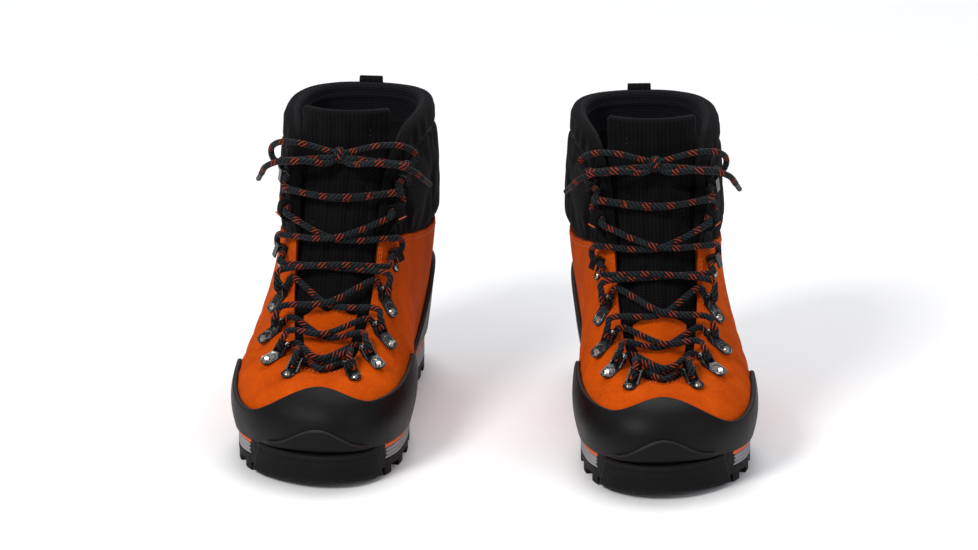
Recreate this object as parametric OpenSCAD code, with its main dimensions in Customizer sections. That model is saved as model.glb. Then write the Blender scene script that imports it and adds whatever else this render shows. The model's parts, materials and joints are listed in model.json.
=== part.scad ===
// A pair of laced mountaineering boots standing on the ground.
// Each boot is drawn as a right boot in its own frame: toes towards -Y, inner side towards +X,
// ground at Z = 0. The left boot is its mirror image. All sizes are in millimetres.

/* [Pair] */
// Distance between the middles of the two soles
stance = 197.5; // [190:0.5:240]
// How far the left boot stands in front of the right one
left_step = 20; // [0:1:40]
// Toe-out angle of the right boot
right_toe_out = 7; // [0:0.5:12]
// Toe-out angle of the left boot
left_toe_out = 3; // [0:0.5:12]

/* [Last] */
// Length of the sole
sole_length = 302; // [290:1:315]
// Width of the upper across the ball of the foot
ball_width = 110; // [105:1:115]

/* [Upper] */
// Thickness of the suede upper with its membrane lining
upper_t = 3; // [2.4:0.1:3.4]
// Thickness of the rubber rand and of the heel cup
rand_t = 2.2; // [1.5:0.1:3]
// Thickness of the padded collar at its sides and back
collar_t = 9; // [6:0.5:10]
// Thickness of the tongue
tongue_t = 5; // [3:0.5:6]

/* [Sole] */
// Depth of the lugs
lug_depth = 4.5; // [3:0.5:6]
// Width of the shank
shank_w = 24; // [16:1:30]

/* [Lacing] */
// Diameter of the lace
lace_d = 4; // [3:0.1:4.2]
// Radius of a lace roller
roller_r = 1.5; // [1.4:0.1:1.8]
// Radius of the pin that a roller turns on
roller_pin_r = 0.8; // [0.6:0.1:0.9]

/* [Hidden] */
$fn = 32;
glue = 0.35;        // gap between two bonded layers
bond = 0.8;         // gap between two bonded layers that are both curved
clear = 0.05;       // radial clearance of a roller on its pin
kx = ball_width / 110;
ky = sole_length / 302;

suede = "orangered";
rubber = "#1c1c1c";
softshell = "#262626";

SIDES = ["right", "left"];
GUIDES = [for (row = [2:4], side = ["inner", "outer"]) str("roller_", side, "_", row)];
PIECES = concat([
    "outsole", "midsole", "midsole_frame", "shank", "lasting_board", "footbed",
    "upper", "toe_puff", "heel_counter", "rand", "heel_cup", "flex_panel", "collar", "heel_pull",
    "tongue", "tongue_patch", "tongue_top", "toe_loops", "guide_plates", "pins_and_rivets",
    "locking_hooks", "collar_loops", "top_hooks", "lace"
], GUIDES);

// ---------------------------------------------------------------- the last
// Sixteen columns run from the middle of the toe along the inner side to the heel and back along the
// outer side. Seven rings rise from the feather line, where the upper meets the sole, to the throat
// edge and the top line. The surface is the cubic B-spline of these points.
feather_ring = [
    [6,-149,25], [36,-137,23.5], [51,-92,20], [48,-40,21], [38,10,24], [35,60,27], [39,106,27], [30,142,27],
    [-1,151,27], [-32,142,27], [-41,106,27], [-44,60,27], [-51,8,24], [-58,-44,20.5], [-56,-96,20], [-32,-132,23]];
bulge_ring = [
    [6,-152,38], [39,-140,37], [55,-92,35], [52,-40,36], [42,10,38], [38,60,40], [41,107,40], [31,146,40],
    [-1,155,40], [-33,146,40], [-43,107,40], [-47,60,40], [-54,8,38], [-61,-44,36], [-60,-96,35], [-35,-136,37]];
side_ring = [
    [5,-145,53], [36,-132,51], [53,-90,51], [51,-40,56], [43,10,58], [41,60,60], [43,107,60], [32,145,60],
    [-1,154,61], [-34,145,60], [-45,107,60], [-48,60,60], [-54,8,58], [-60,-44,56], [-57,-94,50], [-33,-129,51]];
cap_ring = [
    [4,-123,60.5], [27,-115,60], [42,-86,64], [45,-42,76], [44,8,82], [46,60,84], [47,104,84], [32,136,86],
    [-1,143,87], [-33,136,86], [-48,104,84], [-50,60,84], [-50,8,82], [-48,-42,75], [-44,-86,63], [-24,-112,60]];
eyestay_ring = [
    [3,-110,60.5], [21,-103,60.5], [32,-82,69.5], [36,-44,91], [40,0,115], [49,56,114], [50,100,114], [33,129,116],
    [-1,136,117], [-34,129,116], [-50,100,114], [-50,56,114], [-41,0,115], [-37,-44,91], [-32,-82,69.5], [-19,-102,60.5]];
collar_ring = [
    [2,-103,60.5], [19,-96,61.5], [27,-76,71], [31,-42,97], [34,-4,140], [48,44,150], [49,98,150], [33,128,151],
    [-1,135,152], [-34,128,151], [-50,98,150], [-48,44,150], [-34,-4,140], [-31,-42,97], [-26,-76,71], [-17,-95,61.5]];
top_ring = [
    [2,-98,60.5], [17,-91,62], [22,-71,72], [26,-37,103], [28,0,177], [44,32,191], [49,98,189], [33,131,187],
    [-1,138,187], [-34,131,187], [-49,98,189], [-44,32,191], [-28,0,177], [-26,-37,103], [-21,-71,72], [-15,-90,62]];
cage = [feather_ring, bulge_ring, side_ring, cap_ring, eyestay_ring, collar_ring, top_ring];
columns = len(feather_ring);
rings = len(cage);

function cage_point(i, j) =
    j < 0 ? 2 * cage_point(i, 0) - cage_point(i, 1) :
    j >= rings ? 2 * cage_point(i, rings - 1) - cage_point(i, rings - 2) :
    let (p = cage[j][(i + 4 * columns) % columns]) [p.x * kx, p.y * ky, p.z];
function weights(f) = let (g = 1 - f)
    [g * g * g, 3 * f * f * f - 6 * f * f + 4, -3 * f * f * f + 3 * f * f + 3 * f + 1, f * f * f] / 6;
function slopes(f) = let (g = 1 - f) [-g * g, 3 * f * f - 4 * f, -3 * f * f + 2 * f + 1, f * f] / 2;
function weave(i, j, wu, wv) =
    [for (b = [0:3]) wv[b]] * [for (b = [0:3]) wu * [for (a = [0:3]) cage_point(i + a - 1, j + b - 1)]];
function cell(v) = min(floor(v), rings - 2);

// Point, slopes and outward normal of the last at column u and ring v
function last_point(u, v) = weave(floor(u), cell(v), weights(u - floor(u)), weights(v - cell(v)));
function along(u, v) = weave(floor(u), cell(v), slopes(u - floor(u)), weights(v - cell(v)));
function upward(u, v) = weave(floor(u), cell(v), weights(u - floor(u)), slopes(v - cell(v)));
function unit(p) = p / norm(p);
function outward(u, v) = unit(cross(along(u, v), upward(u, v)));
function skin(u, v, h) = last_point(u, v) + h * outward(u, v);

// Smooth line through [position, value] pairs, flat at each of them
function line_at(pts, x, i = 0) =
    x <= pts[0][0] ? pts[0][1] :
    i >= len(pts) - 1 ? pts[len(pts) - 1][1] :
    x > pts[i + 1][0] ? line_at(pts, x, i + 1) :
    let (t = (x - pts[i][0]) / (pts[i + 1][0] - pts[i][0])) pts[i][1] + (pts[i + 1][1] - pts[i][1]) * (1 - cos(180 * t)) / 2;
// Position of column u counted from the toe, 0 to 8 on either side
function from_toe(u) = let (w = ((u % columns) + columns) % columns) min(w, columns - w);

// Catmull-Rom curve through points of any dimension; t counts the points
function through(p, t) = let (
    i = max(0, min(floor(t), len(p) - 2)), f = t - i,
    a = i > 0 ? p[i - 1] : 2 * p[0] - p[1], b = p[i], c = p[i + 1],
    d = i + 2 < len(p) ? p[i + 2] : 2 * c - b)
    (2 * b + (c - a) * f + (2 * a - 5 * b + 4 * c - d) * f * f + (3 * b - a - 3 * c + d) * f * f * f) / 2;

// ---------------------------------------------------------------- solids from grids
// A closed solid between two grids of points of the same size; rows close on themselves if wrap is true
module grid_solid(outer, inner, wrap = false) {
    m = len(outer);
    n = len(outer[0]);
    total = m * n;
    last_row = wrap ? m - 1 : m - 2;
    function id(i, j) = (i % m) * n + j;
    polyhedron(
        points = concat([for (r = outer, p = r) p], [for (r = inner, p = r) p]),
        faces = concat(
            [for (i = [0:last_row], j = [0:n - 2]) each [
                [id(i, j), id(i, j + 1), id(i + 1, j + 1)], [id(i, j), id(i + 1, j + 1), id(i + 1, j)],
                [total + id(i, j), total + id(i + 1, j + 1), total + id(i, j + 1)],
                [total + id(i, j), total + id(i + 1, j), total + id(i + 1, j + 1)]]],
            [for (i = [0:last_row], j = [0, n - 1]) let (a = id(i, j), b = id(i + 1, j), s = j == 0)
                each s ? [[a, b, total + b], [a, total + b, total + a]]
                       : [[b, a, total + a], [b, total + a, total + b]]],
            wrap ? [] : [for (j = [0:n - 2], i = [0, m - 1]) let (a = id(i, j), b = id(i, j + 1), s = i == 0)
                each s ? [[b, a, total + a], [b, total + a, total + b]]
                       : [[a, b, total + b], [a, total + b, total + a]]]
        ));
}

// Columns from a to b in steps of about d
function span(a, b, d) = let (n = ceil((b - a) / d)) [for (i = [0:n]) a + (b - a) * i / n];
// The same columns on the outer side, and then back to front
function both_sides(us) = concat(us, [for (i = [len(us) - 1:-1:0]) if (us[i] < 8) columns - us[i]]);

// A panel of the last over the columns us and from ring low(u) to high(u), between two heights over it
module panel(us, low, high, nv, h_in, h_out, wrap = false) {
    vs = [for (j = [0:nv]) j / nv];
    function grid(h) = [for (u = us) [for (t = vs) skin(u, low(u) + (high(u) - low(u)) * t, h(u))]];
    grid_solid(grid(h_out), grid(h_in), wrap);
}

// A tube of six sides along points, with a ring at each of them
module tube(path, r) {
    n = len(path);
    sides = 6;
    function ahead(i) = unit(path[min(i + 1, n - 1)] - path[max(i - 1, 0)]);
    aside = abs(ahead(0).z) < 0.8 ? [0, 0, 1] : [0, 1, 0];
    // the frame is carried along the path, so that the tube doesn't twist
    frames = [for (i = 0, t = ahead(0), s = unit(cross(aside, t)); i < n;
        i = i + 1, t = i < n ? ahead(i) : t, s = i < n ? unit(s - (s * t) * t) : s) [t, s]];
    ring = [for (i = [0:n - 1]) let (t = frames[i][0], s = frames[i][1], q = cross(t, s))
        [for (k = [0:sides - 1]) path[i] + r * (cos(360 * k / sides) * s + sin(360 * k / sides) * q)]];
    polyhedron(
        points = [for (r = ring, p = r) p],
        faces = concat(
            [for (i = [0:n - 2], k = [0:sides - 1]) let (
                a = i * sides + k, b = i * sides + (k + 1) % sides, c = a + sides, d = b + sides)
                each [[a, d, b], [a, c, d]]],
            [[for (k = [0:sides - 1]) k], [for (k = [0:sides - 1]) n * sides - 1 - k]]));
}

// ---------------------------------------------------------------- sole
// Heights of the sole's layers along the boot, as [y, z]
ground_line = [[-160,8], [-152,6.5], [-136,3], [-116,0.6], [-100,0], [-6,0], [1,3], [36,3], [43,0], [140,0], [160,2.5]];
tread_line = [[-160,8.4], [-136,7.2], [-100,lug_depth], [160,lug_depth]];
outsole_line = [[-160,14.5], [-130,11.5], [-98,9], [160,9]];
midsole_line = [[-160,20.2], [-130,18.2], [-92,16.2], [-40,16.8], [10,18], [50,19], [160,19]];
feather_line = [[-160,24.2], [-130,22], [-95,20], [-40,20.8], [10,23.6], [50,26.2], [160,26.6]];
board_t = 2.4;
footbed_t = 4.6;
bumper_z = 22.2;

function lifted(line, dz) = [for (p = line) [p.x * ky, p.y + dz]];
// How far the rubber stands proud of the feather line at the toe
function toe_push(u) = 0.8 + 6.2 * exp(-pow(from_toe(u) / 1.05, 2));
function outline(grow, push = false) = [for (i = [0:63]) let (
    u = i / 4, p = last_point(u, 0), t = unit([along(u, 0).x, along(u, 0).y]), h = push ? grow + toe_push(u) : grow)
    [p.x + h * t.y, p.y - h * t.x]];

// The space between two lines of [y, z] points, w wide
module layer(low, high, w = 160) {
    side = concat(low, [for (i = [len(high) - 1:-1:0]) high[i]]);
    rotate([90, 0, 90]) translate([0, 0, -w / 2]) linear_extrude(w) polygon(side);
}

module slab(low, high, grow, push = false) {
    intersection() {
        layer(low, high);
        linear_extrude(60) polygon(outline(grow, push));
    }
}

// Lugs as flat shapes: blocks around the edge and two staggered rows of bars between them
module lug_pattern() {
    edge = outline(-4.6, true);
    for (i = [0:2:len(edge) - 1]) {
        step = edge[(i + 1) % len(edge)] - edge[(i + 63) % len(edge)];
        translate(edge[i]) rotate(atan2(step.y, step.x)) square([9.6, 10.4], center = true);
    }
    for (y = [-112:18:-22], s = [-1, 1])
        translate([s * 14 - 1, (y + 4 * s) * ky]) rotate(s * 24) square([19, 9], center = true);
    for (y = [62:20:122])
        translate([-2, y * ky]) rotate(10) square([30, 9], center = true);
}

module outsole() {
    color(rubber) {
        slab(lifted(tread_line, 0), lifted(outsole_line, 0), 0, true);
        intersection() {
            layer(lifted(ground_line, 0), lifted(tread_line, 0.4));
            linear_extrude(60) intersection() {
                polygon(outline(0, true));
                lug_pattern();
            }
        }
        // toe bumper in front of the midsole
        intersection() {
            layer(lifted(outsole_line, -1), [[-160 * ky, bumper_z], [160 * ky, bumper_z]]);
            linear_extrude(60) difference() {
                polygon(outline(0, true));
                polygon(outline(0.8));
                translate([-100, -118 * ky]) square([200, 300]);
            }
        }
    }
}

module midsole() {
    color("gray") slab(lifted(outsole_line, 0), lifted(midsole_line, 0), 0.4);
}

// Top of the frame over the shank's length, lowered by dz
function shank_line(dz) = [for (y = [-58:24:110]) [y * ky, lookup(y, feather_line) - dz]];

module midsole_frame() {
    color("orange") difference() {
        slab(lifted(midsole_line, 0), lifted(feather_line, 0), 0.2);
        layer(shank_line(2.4), shank_line(-2), shank_w + 0.4);
    }
}

module shank() {
    color("silver") layer(shank_line(2.2), shank_line(0.6), shank_w);
}

module lasting_board() {
    color("tan") slab(lifted(feather_line, 0.2), lifted(feather_line, board_t), -5);
}

module footbed() {
    color("dimgray") slab(lifted(feather_line, board_t + 0.2), lifted(feather_line, board_t + footbed_t), -7);
}

// ---------------------------------------------------------------- upper
// Edges of the panels, as [column from the toe, ring]
suede_top = [
    [3.28, 6], [3.4, 5.6], [3.5, 5.34], [3.6, 5.11], [3.8, 4.76], [4, 4.49],
    [4.4, 4.15], [4.9, 3.93], [5.6, 3.8], [6.5, 3.74], [8, 3.7]];
collar_low = [
    [3.46, 5.9], [3.5, 5.77], [3.6, 5.53], [3.8, 5.14], [4, 4.86],
    [4.4, 4.52], [4.9, 4.33], [5.6, 4.24], [6.5, 4.2], [8, 4.17]];
flex_columns = concat([3.46, 3.5, 3.6, 3.8], span(4, 8, 0.4));
rand_inner = [[0, 2.75], [1.1, 2.0], [2.9, 2.15], [3.2, 0.35]];
rand_outer = [[0, 2.75], [1.4, 1.35], [2.75, 1.95], [3.1, 0.35]];
cup_top = [[4.6, 0.3], [6.3, 2.7], [8, 3.1]];

function rand_top(u) = u >= 0 ? line_at(rand_inner, u) : line_at(rand_outer, -u);
function suede_edge(u) = lookup(from_toe(u), suede_top);
function collar_edge(u) = lookup(from_toe(u), collar_low);
function collar_depth(u) = -line_at([[4, 3], [5, collar_t], [8, collar_t]], from_toe(u));

suede_columns = let (half = concat(span(0, 3.1, 0.31), [3.28, 3.4, 3.5, 3.6, 3.8], span(4, 8, 0.34)))
    [for (u = both_sides(half)) if (u < columns) u];
module upper() {
    color(suede) panel(suede_columns, function (u) 0.03, function (u) suede_edge(u), 9,
        function (u) -upper_t, function (u) 0, wrap = true);
}

module rand() {
    color(rubber) panel(span(-3.1, 3.2, 0.22), function (u) 0.07, function (u) rand_top(u), 4,
        function (u) bond + 0.35, function (u) bond + rand_t);
}

module heel_cup() {
    color(rubber) panel(span(4.6, 11.4, 0.34), function (u) 0.07, function (u) line_at(cup_top, from_toe(u)), 4,
        function (u) bond, function (u) bond + rand_t);
}

stiffener_t = 1.2;  // the toe puff and the heel counter
module toe_puff() {
    color("tan") panel(span(-2.2, 2.2, 0.31), function (u) 0.3, function (u) 2.6, 4,
        function (u) -upper_t - bond - stiffener_t, function (u) -upper_t - bond);
}

module heel_counter() {
    color("tan") panel(span(5.2, 10.8, 0.4), function (u) 0.3, function (u) 2.6, 4,
        function (u) -upper_t - bond - stiffener_t, function (u) -upper_t - bond);
}

module flex_panel() {
    color(softshell) {
        panel(both_sides(flex_columns), function (u) suede_edge(u) + 0.03, function (u) collar_edge(u) - 0.03, 1,
            function (u) -2.6, function (u) -0.6);
        tongue_sheet(low_end + 0.03, top_start - 0.03, 2, 0.97, 6, -3.5, -1);
    }
}

module collar() {
    color(softshell) panel(both_sides(flex_columns), function (u) collar_edge(u), function (u) 6, 4,
        function (u) collar_depth(u), function (u) 0);
}

module heel_pull() {
    at = last_point(8, 5.6);
    color(softshell) translate([at.x - 9, at.y + 1.2, at.z - 22]) cube([18, 3, 40]);
}

// ---------------------------------------------------------------- tongue
// Middle line of the tongue as [y, z, half width, drop at the edges]
tongue_line = [
    [-101,53.4,15,5], [-84,65.4,20,6.5], [-71,76.5,25,8], [-57,90.5,27.5,9.5], [-40.5,112,28.5,12.5],
    [-30.5,129.5,29.5,16.5], [-20.5,148,29,18.5], [-9.5,168.5,29,20], [-3.5,186,29.5,21], [-1,204,29.5,19]];
low_end = 4.15;     // where the lower tongue ends, counted in points of the line
top_start = 4.95;   // where the top of the tongue starts

function tongue_spine(t) = let (p = through(tongue_line, t)) [p[0] * ky, p[1]];
function tongue_up(t) = unit(tongue_spine(t + 0.02) - tongue_spine(t - 0.02));
// Point of the tongue at t along it and a across it, -1 to 1, at height h over its face
function tongue_point(t, a, h) = let (
    p = through(tongue_line, t), d = tongue_up(t), drop = p[3] * a * a,
    s = 2 * p[3] * a / p[2], k = sqrt(1 + s * s), out = h / k - drop)
    [a * p[2] * kx + h * s / k, p[0] * ky - d.y * out, p[1] + d.x * out];

module tongue_sheet(t0, t1, nt, w, na, h_in, h_out) {
    function grid(h) = [for (i = [0:nt]) [for (j = [0:na])
        tongue_point(t0 + (t1 - t0) * i / nt, w * (1 - 2 * j / na), h)]];
    grid_solid(grid(h_out), grid(h_in));
}

module tongue() {
    color(softshell) tongue_sheet(0, low_end, 9, 1, 8, -tongue_t, 0);
}

module tongue_patch() {
    color(suede) tongue_sheet(0.95, 3, 5, 0.62, 6, glue, glue + 1.6);
}

module tongue_top() {
    color(softshell) tongue_sheet(top_start, 9, 8, 1, 8, -tongue_t - 2, 0);
}

// ---------------------------------------------------------------- lacing hardware
// Rows from the toe upwards, as [column from the toe, ring]: a closed loop, three rollers, a locking
// hook, a webbing loop and a hook at the top of the collar
rows = [[0.95, 4.05], [1.74, 4.22], [2.35, 4.3], [2.9, 4.85], [3.5, 4.95], [3.76, 5.45], [4.2, 5.6]];
function column_of(side, row) = side > 0 ? rows[row - 1][0] : columns - rows[row - 1][0];
ring_of = function (row) rows[row - 1][1];

// Frame of the hardware on one row: X down the side of the boot, Z out of it, side is 1 on the inner side
function frame_of(side, row) = let (
    u = column_of(side, row), v = ring_of(row), z = outward(u, v),
    down = -upward(u, v), x = unit(down - (down * z) * z))
    [x, cross(z, x), z, last_point(u, v)];
function in_frame(f, p) = f[3] + p.x * f[0] + p.y * f[1] + p.z * f[2];
module on_row(side, row) {
    f = frame_of(side, row);
    multmatrix([for (k = [0:2]) [f[0][k], f[1][k], f[2][k], f[3][k]]]) children();
}

plate_z = 0.5;      // underside of a plate over the leather
plate_t = 1;
bar_x = -3;         // axis of a roller or a bar
bar_z = 6.3;
ear_y = 3.1;        // inner face of an ear
ear_t = 1;
plate_l = 16;
plate_w = 8;

// Oval plate with two ears that hold a bar across its throat end
module eared_plate(length, bore) {
    difference() {
        union() {
            translate([0, 0, plate_z]) linear_extrude(plate_t) difference() {
                union() {
                    translate([0, -plate_w / 2]) square([length - plate_w / 2, plate_w]);
                    translate([length - plate_w / 2, 0]) circle(d = plate_w);
                }
                translate([length - plate_w / 2, 0]) circle(r = rivet_r + clear);
            }
            for (s = [-1, 1]) translate([0, s * (ear_y + ear_t / 2), 0]) rotate([90, 0, 0])
                linear_extrude(ear_t, center = true) {
                    polygon([[0, plate_z], [4, plate_z], [4, plate_z + plate_t], [bar_x + 1.8, bar_z + 0.9],
                        [bar_x - 1.8, bar_z + 0.5], [bar_x - 1.8, bar_z - 1]]);
                    translate([bar_x, bar_z]) circle(r = 2);
                }
        }
        translate([bar_x, 0, bar_z]) rotate([90, 0, 0]) cylinder(r = bore, h = 20, center = true);
    }
}

rivet_r = 1.4;
// Rivet with a domed head, through a plate whose hole lies at x
module rivet(x) {
    translate([x, 0, plate_z - 0.4]) cylinder(r = rivet_r, h = plate_t + 0.6);
    translate([x, 0, plate_z + plate_t + 0.1]) cylinder(r1 = 2.4, r2 = 1.5, h = 0.9);
}

module guide_plates() {
    color("dimgray") for (row = [2:4], side = [1, -1]) on_row(side, row) eared_plate(plate_l, roller_pin_r + 0.02);
}

module roller(side, row) {
    color("silver") on_row(side, row) translate([bar_x, 0, bar_z]) rotate([90, 0, 0]) difference() {
        cylinder(r = roller_r, h = 2 * ear_y - 0.4, center = true);
        cylinder(r = roller_pin_r + clear, h = 20, center = true);
    }
}

module toe_loops() {
    color("dimgray") for (side = [1, -1]) on_row(side, 1) {
        eared_plate(13, 1.02);
        translate([bar_x, 0, bar_z]) rotate([90, 0, 0]) cylinder(r = 1.3, h = 2 * ear_y, center = true);
    }
}

module pins_and_rivets() {
    color("silver") {
        for (row = [2:4], side = [1, -1]) on_row(side, row) {
            translate([bar_x, 0, bar_z]) rotate([90, 0, 0]) cylinder(r = roller_pin_r, h = 2 * (ear_y + ear_t) + 0.6, center = true);
            rivet(plate_l - plate_w / 2);
        }
        for (side = [1, -1]) {
            on_row(side, 1) rivet(13 - plate_w / 2);
            on_row(side, 5) rivet(hook_rivet_x);
        }
    }
}

hook_w = 6.5;
hook_rivet_x = 11;
hook_gap = lace_d + 0.7;
// Folded hook: a base, a bend at the throat side and a lip that opens outwards
module hook(lip, bore) {
    rotate([90, 0, 0]) linear_extrude(hook_w, center = true) {
        translate([-1.2, plate_z]) square([8, plate_t]);
        translate([-1.2, plate_z]) square([1.2, hook_gap + 2 * plate_t]);
        translate([-1.2, plate_z + plate_t + hook_gap]) square([lip, plate_t]);
    }
    translate([0, 0, plate_z]) linear_extrude(plate_t) difference() {
        union() {
            translate([4, -hook_w / 2]) square([hook_rivet_x - 4, hook_w]);
            translate([hook_rivet_x, 0]) circle(d = hook_w);
        }
        if (bore) translate([hook_rivet_x, 0]) circle(r = rivet_r + clear);
    }
}

module locking_hooks() {
    color("dimgray") for (side = [1, -1]) on_row(side, 5) hook(9, true);
}

module top_hooks() {
    color("dimgray") for (side = [1, -1]) on_row(side, 7) {
        hook(8, false);
        translate([hook_rivet_x, 0, plate_z + plate_t]) cylinder(r1 = 2.4, r2 = 1.5, h = 0.9);
    }
}

webbing_t = 1.3;
webbing_w = 9.5;
webbing_l = 6.2;
webbing_r = 2.9;    // room for the lace in the fold
loop_z = 4.6;
// Webbing folded round the lace
module collar_loops() {
    color(softshell) for (side = [1, -1]) on_row(side, 6) rotate([90, 0, 0])
        linear_extrude(webbing_w, center = true) difference() {
            slot(webbing_l, webbing_r + webbing_t);
            slot(webbing_l, webbing_r);
        }
}
module slot(length, r) {
    translate([-2, loop_z]) circle(r = r);
    translate([-2, loop_z - r]) square([length, 2 * r]);
    translate([length - 2, loop_z]) circle(r = r);
}

// ---------------------------------------------------------------- lace
over = lace_d / 2 + 0.5;                    // lace over a face that it crosses
bar_reach = roller_r + lace_d / 2 + 0.65;   // lace round a bar
under_bar = bar_z - bar_reach;
round_bar = bar_x + bar_reach;
over_bar = bar_z + bar_reach;
in_hook = plate_z + plate_t + hook_gap / 2;

// Points round the hardware of one row, from the strand that comes up from the toe to the one that goes on
function round_guide(side, row) = let (f = frame_of(side, row), s = side) [
    in_frame(f, [bar_x - 8, -2.8 * s, under_bar + 0.6]), in_frame(f, [bar_x, -0.8 * s, under_bar]),
    in_frame(f, [round_bar, 0, bar_z]), in_frame(f, [bar_x, 0.8 * s, over_bar]),
    in_frame(f, [bar_x - 8, 2.8 * s, over_bar - 0.2])];
// The strand comes from the throat, turns back behind the hook or the webbing, and goes on over it
hook_turn = [
    [6, -16, 4.9], [3.4, -9, 4.2], [2.5, -4.4, in_hook], [2.5, -1.5, in_hook], [2.5, 1.5, in_hook],
    [2.5, 4.4, in_hook], [0.6, 7.6, 4.6], [-3.6, 7.4, 5.9], [-7.2, 2.6, 6.3], [-9, -4.5, 5.2]];
loop_turn = [
    [1, -11, loop_z], [-2, -5.2, loop_z], [-2, 5.2, loop_z], [-4.8, 9.6, 5], [-9.5, 8, 5.8],
    [-12.5, 1.5, 5.6], [-13.6, -5, 4.2]];
function round_hook(side, row) = let (f = frame_of(side, row))
    [for (p = hook_turn) in_frame(f, [p.x, p.y * side, p.z])];
function through_loop(side, row) = let (f = frame_of(side, row))
    [for (p = loop_turn) in_frame(f, [p.x, p.y * side, p.z])];
function round_row(side, row) =
    row <= 4 ? round_guide(side, row) : row == 6 ? through_loop(side, row) : round_hook(side, row);

// Crossings over the middle of the tongue, as points of its line; one strand lies on the other
crossings = [0.6, 1.7, 2.95, 3.95, 4.85, 6.1];
patch_h = 2;
function crossing(side, k) = let (t = crossings[k - 1], base = (t < 3 ? patch_h : t > 4.5 ? 1.2 : 0) + over)
    [tongue_point(t, 0, side > 0 ? base + 1 : base + lace_d + 1.6)];

// One half of the lace: side is where it stands on row 1, and it changes sides at each crossing
knot_r = 5.5;
knot = tongue_point(7.4, 0, knot_r + 0.8);
function half_lace(side) = concat(
    [for (row = [1:7]) each concat(
        round_row(row % 2 == 1 ? side : -side, row),
        row < 7 ? crossing(row % 2 == 1 ? side : -side, row) : [])],
    [knot + [side * (knot_r + 2.6), 1, -2]]);
// The strand across the vamp joins the two halves under the bars of row 1
vamp_bar = tongue_point(0.25, 0, over + 6);
lace_route = concat(reverse(half_lace(1)), [vamp_bar], half_lace(-1));
function reverse(p) = [for (i = [len(p) - 1:-1:0]) p[i]];
function smooth(p, step) = [for (t = [0:step:len(p) - 1]) through(p, t)];

// Bow loops and ends, as points from the knot
bow_loop = [[8,-1,3], [24,-4,8], [38,2,7], [46,12,0], [44,12,-8], [32,2,-6], [19,-5,-2], [8,-4,-1]];
bow_end = [[8,-6,-4], [22,-13,-1], [36,-11,-2], [47,-3,-8], [52,8,-16]];

module lace() {
    color("#20282c") {
        tube(smooth(lace_route, 0.5), lace_d / 2);
        translate(knot) sphere(r = knot_r);
        for (s = [-1, 1]) {
            tube([for (p = smooth(bow_loop, 0.5)) knot + [s * p.x, p.y, p.z]], lace_d / 2);
            tube([for (p = smooth(bow_end, 0.5)) knot + [s * p.x, p.y, p.z]], lace_d / 2);
        }
    }
}

// ---------------------------------------------------------------- assembly
// Shift that puts the pair's box over the origin
pair_shift = [2.3, -0.8];

module stand(side) {
    right = side == "right";
    at = right ? [-stance / 2, left_step / 2] : [stance / 2, -left_step / 2];
    translate([at.x + pair_shift.x, at.y + pair_shift.y, 0])
        rotate(right ? -right_toe_out : left_toe_out) mirror([right ? 0 : 1, 0, 0]) children();
}

for (s = SIDES) {
    stand(s) outsole();
    stand(s) midsole();
    stand(s) midsole_frame();
    stand(s) shank();
    stand(s) lasting_board();
    stand(s) footbed();
    stand(s) upper();
    stand(s) toe_puff();
    stand(s) heel_counter();
    stand(s) rand();
    stand(s) heel_cup();
    stand(s) flex_panel();
    stand(s) collar();
    stand(s) heel_pull();
    stand(s) tongue();
    stand(s) tongue_patch();
    stand(s) tongue_top();
    stand(s) toe_loops();
    stand(s) guide_plates();
    stand(s) pins_and_rivets();
    stand(s) locking_hooks();
    stand(s) collar_loops();
    stand(s) top_hooks();
    stand(s) lace();
    for (row = [2:4]) {
        stand(s) roller(1, row);
        stand(s) roller(-1, row);
    }
}
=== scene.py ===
import json
import math

import bpy
import numpy as np
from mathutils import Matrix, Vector


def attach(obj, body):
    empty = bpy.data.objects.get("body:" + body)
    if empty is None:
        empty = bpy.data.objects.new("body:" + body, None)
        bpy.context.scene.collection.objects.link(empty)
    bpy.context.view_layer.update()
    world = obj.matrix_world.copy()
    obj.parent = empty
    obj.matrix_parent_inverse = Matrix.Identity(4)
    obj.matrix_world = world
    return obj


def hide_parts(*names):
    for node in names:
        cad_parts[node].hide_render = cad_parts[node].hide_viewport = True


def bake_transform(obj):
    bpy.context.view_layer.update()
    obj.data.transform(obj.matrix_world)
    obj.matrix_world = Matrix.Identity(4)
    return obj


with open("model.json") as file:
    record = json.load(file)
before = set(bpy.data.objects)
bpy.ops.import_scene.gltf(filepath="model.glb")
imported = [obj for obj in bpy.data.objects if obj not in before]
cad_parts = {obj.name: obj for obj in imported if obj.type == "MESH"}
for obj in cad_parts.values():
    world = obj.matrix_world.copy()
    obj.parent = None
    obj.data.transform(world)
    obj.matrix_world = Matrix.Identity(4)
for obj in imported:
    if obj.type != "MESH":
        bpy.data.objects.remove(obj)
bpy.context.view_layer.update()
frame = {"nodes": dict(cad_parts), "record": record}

MM = 0.001

# ------------------------------------------------------------------ camera, light and floor
CAMERA_DISTANCE = 4.0           # metres
CAMERA_HEIGHT_ANGLE = 17.0      # degrees above the horizon, seen from the boots
CAMERA_TILT_UP = 0.1            # degrees that the view points above the boots' middle
CAMERA_PAN = -0.05              # degrees that it turns to the side
FOCAL_LENGTH = 230.0
AIM = Vector((0.0, 0.0, 0.09))


def make_camera():
    camera = bpy.data.objects.new("camera", bpy.data.cameras.new("camera"))
    bpy.context.scene.collection.objects.link(camera)
    height = math.radians(CAMERA_HEIGHT_ANGLE)
    back = Vector((0, -math.cos(height), math.sin(height)))
    camera.location = AIM + back * CAMERA_DISTANCE
    look_down = height - math.radians(CAMERA_TILT_UP)
    camera.rotation_euler = (math.pi / 2 - look_down, 0, math.radians(-CAMERA_PAN))
    camera.data.lens = FOCAL_LENGTH
    camera.data.sensor_width = 36
    camera.data.clip_end = 60
    bpy.context.scene.camera = camera


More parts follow.
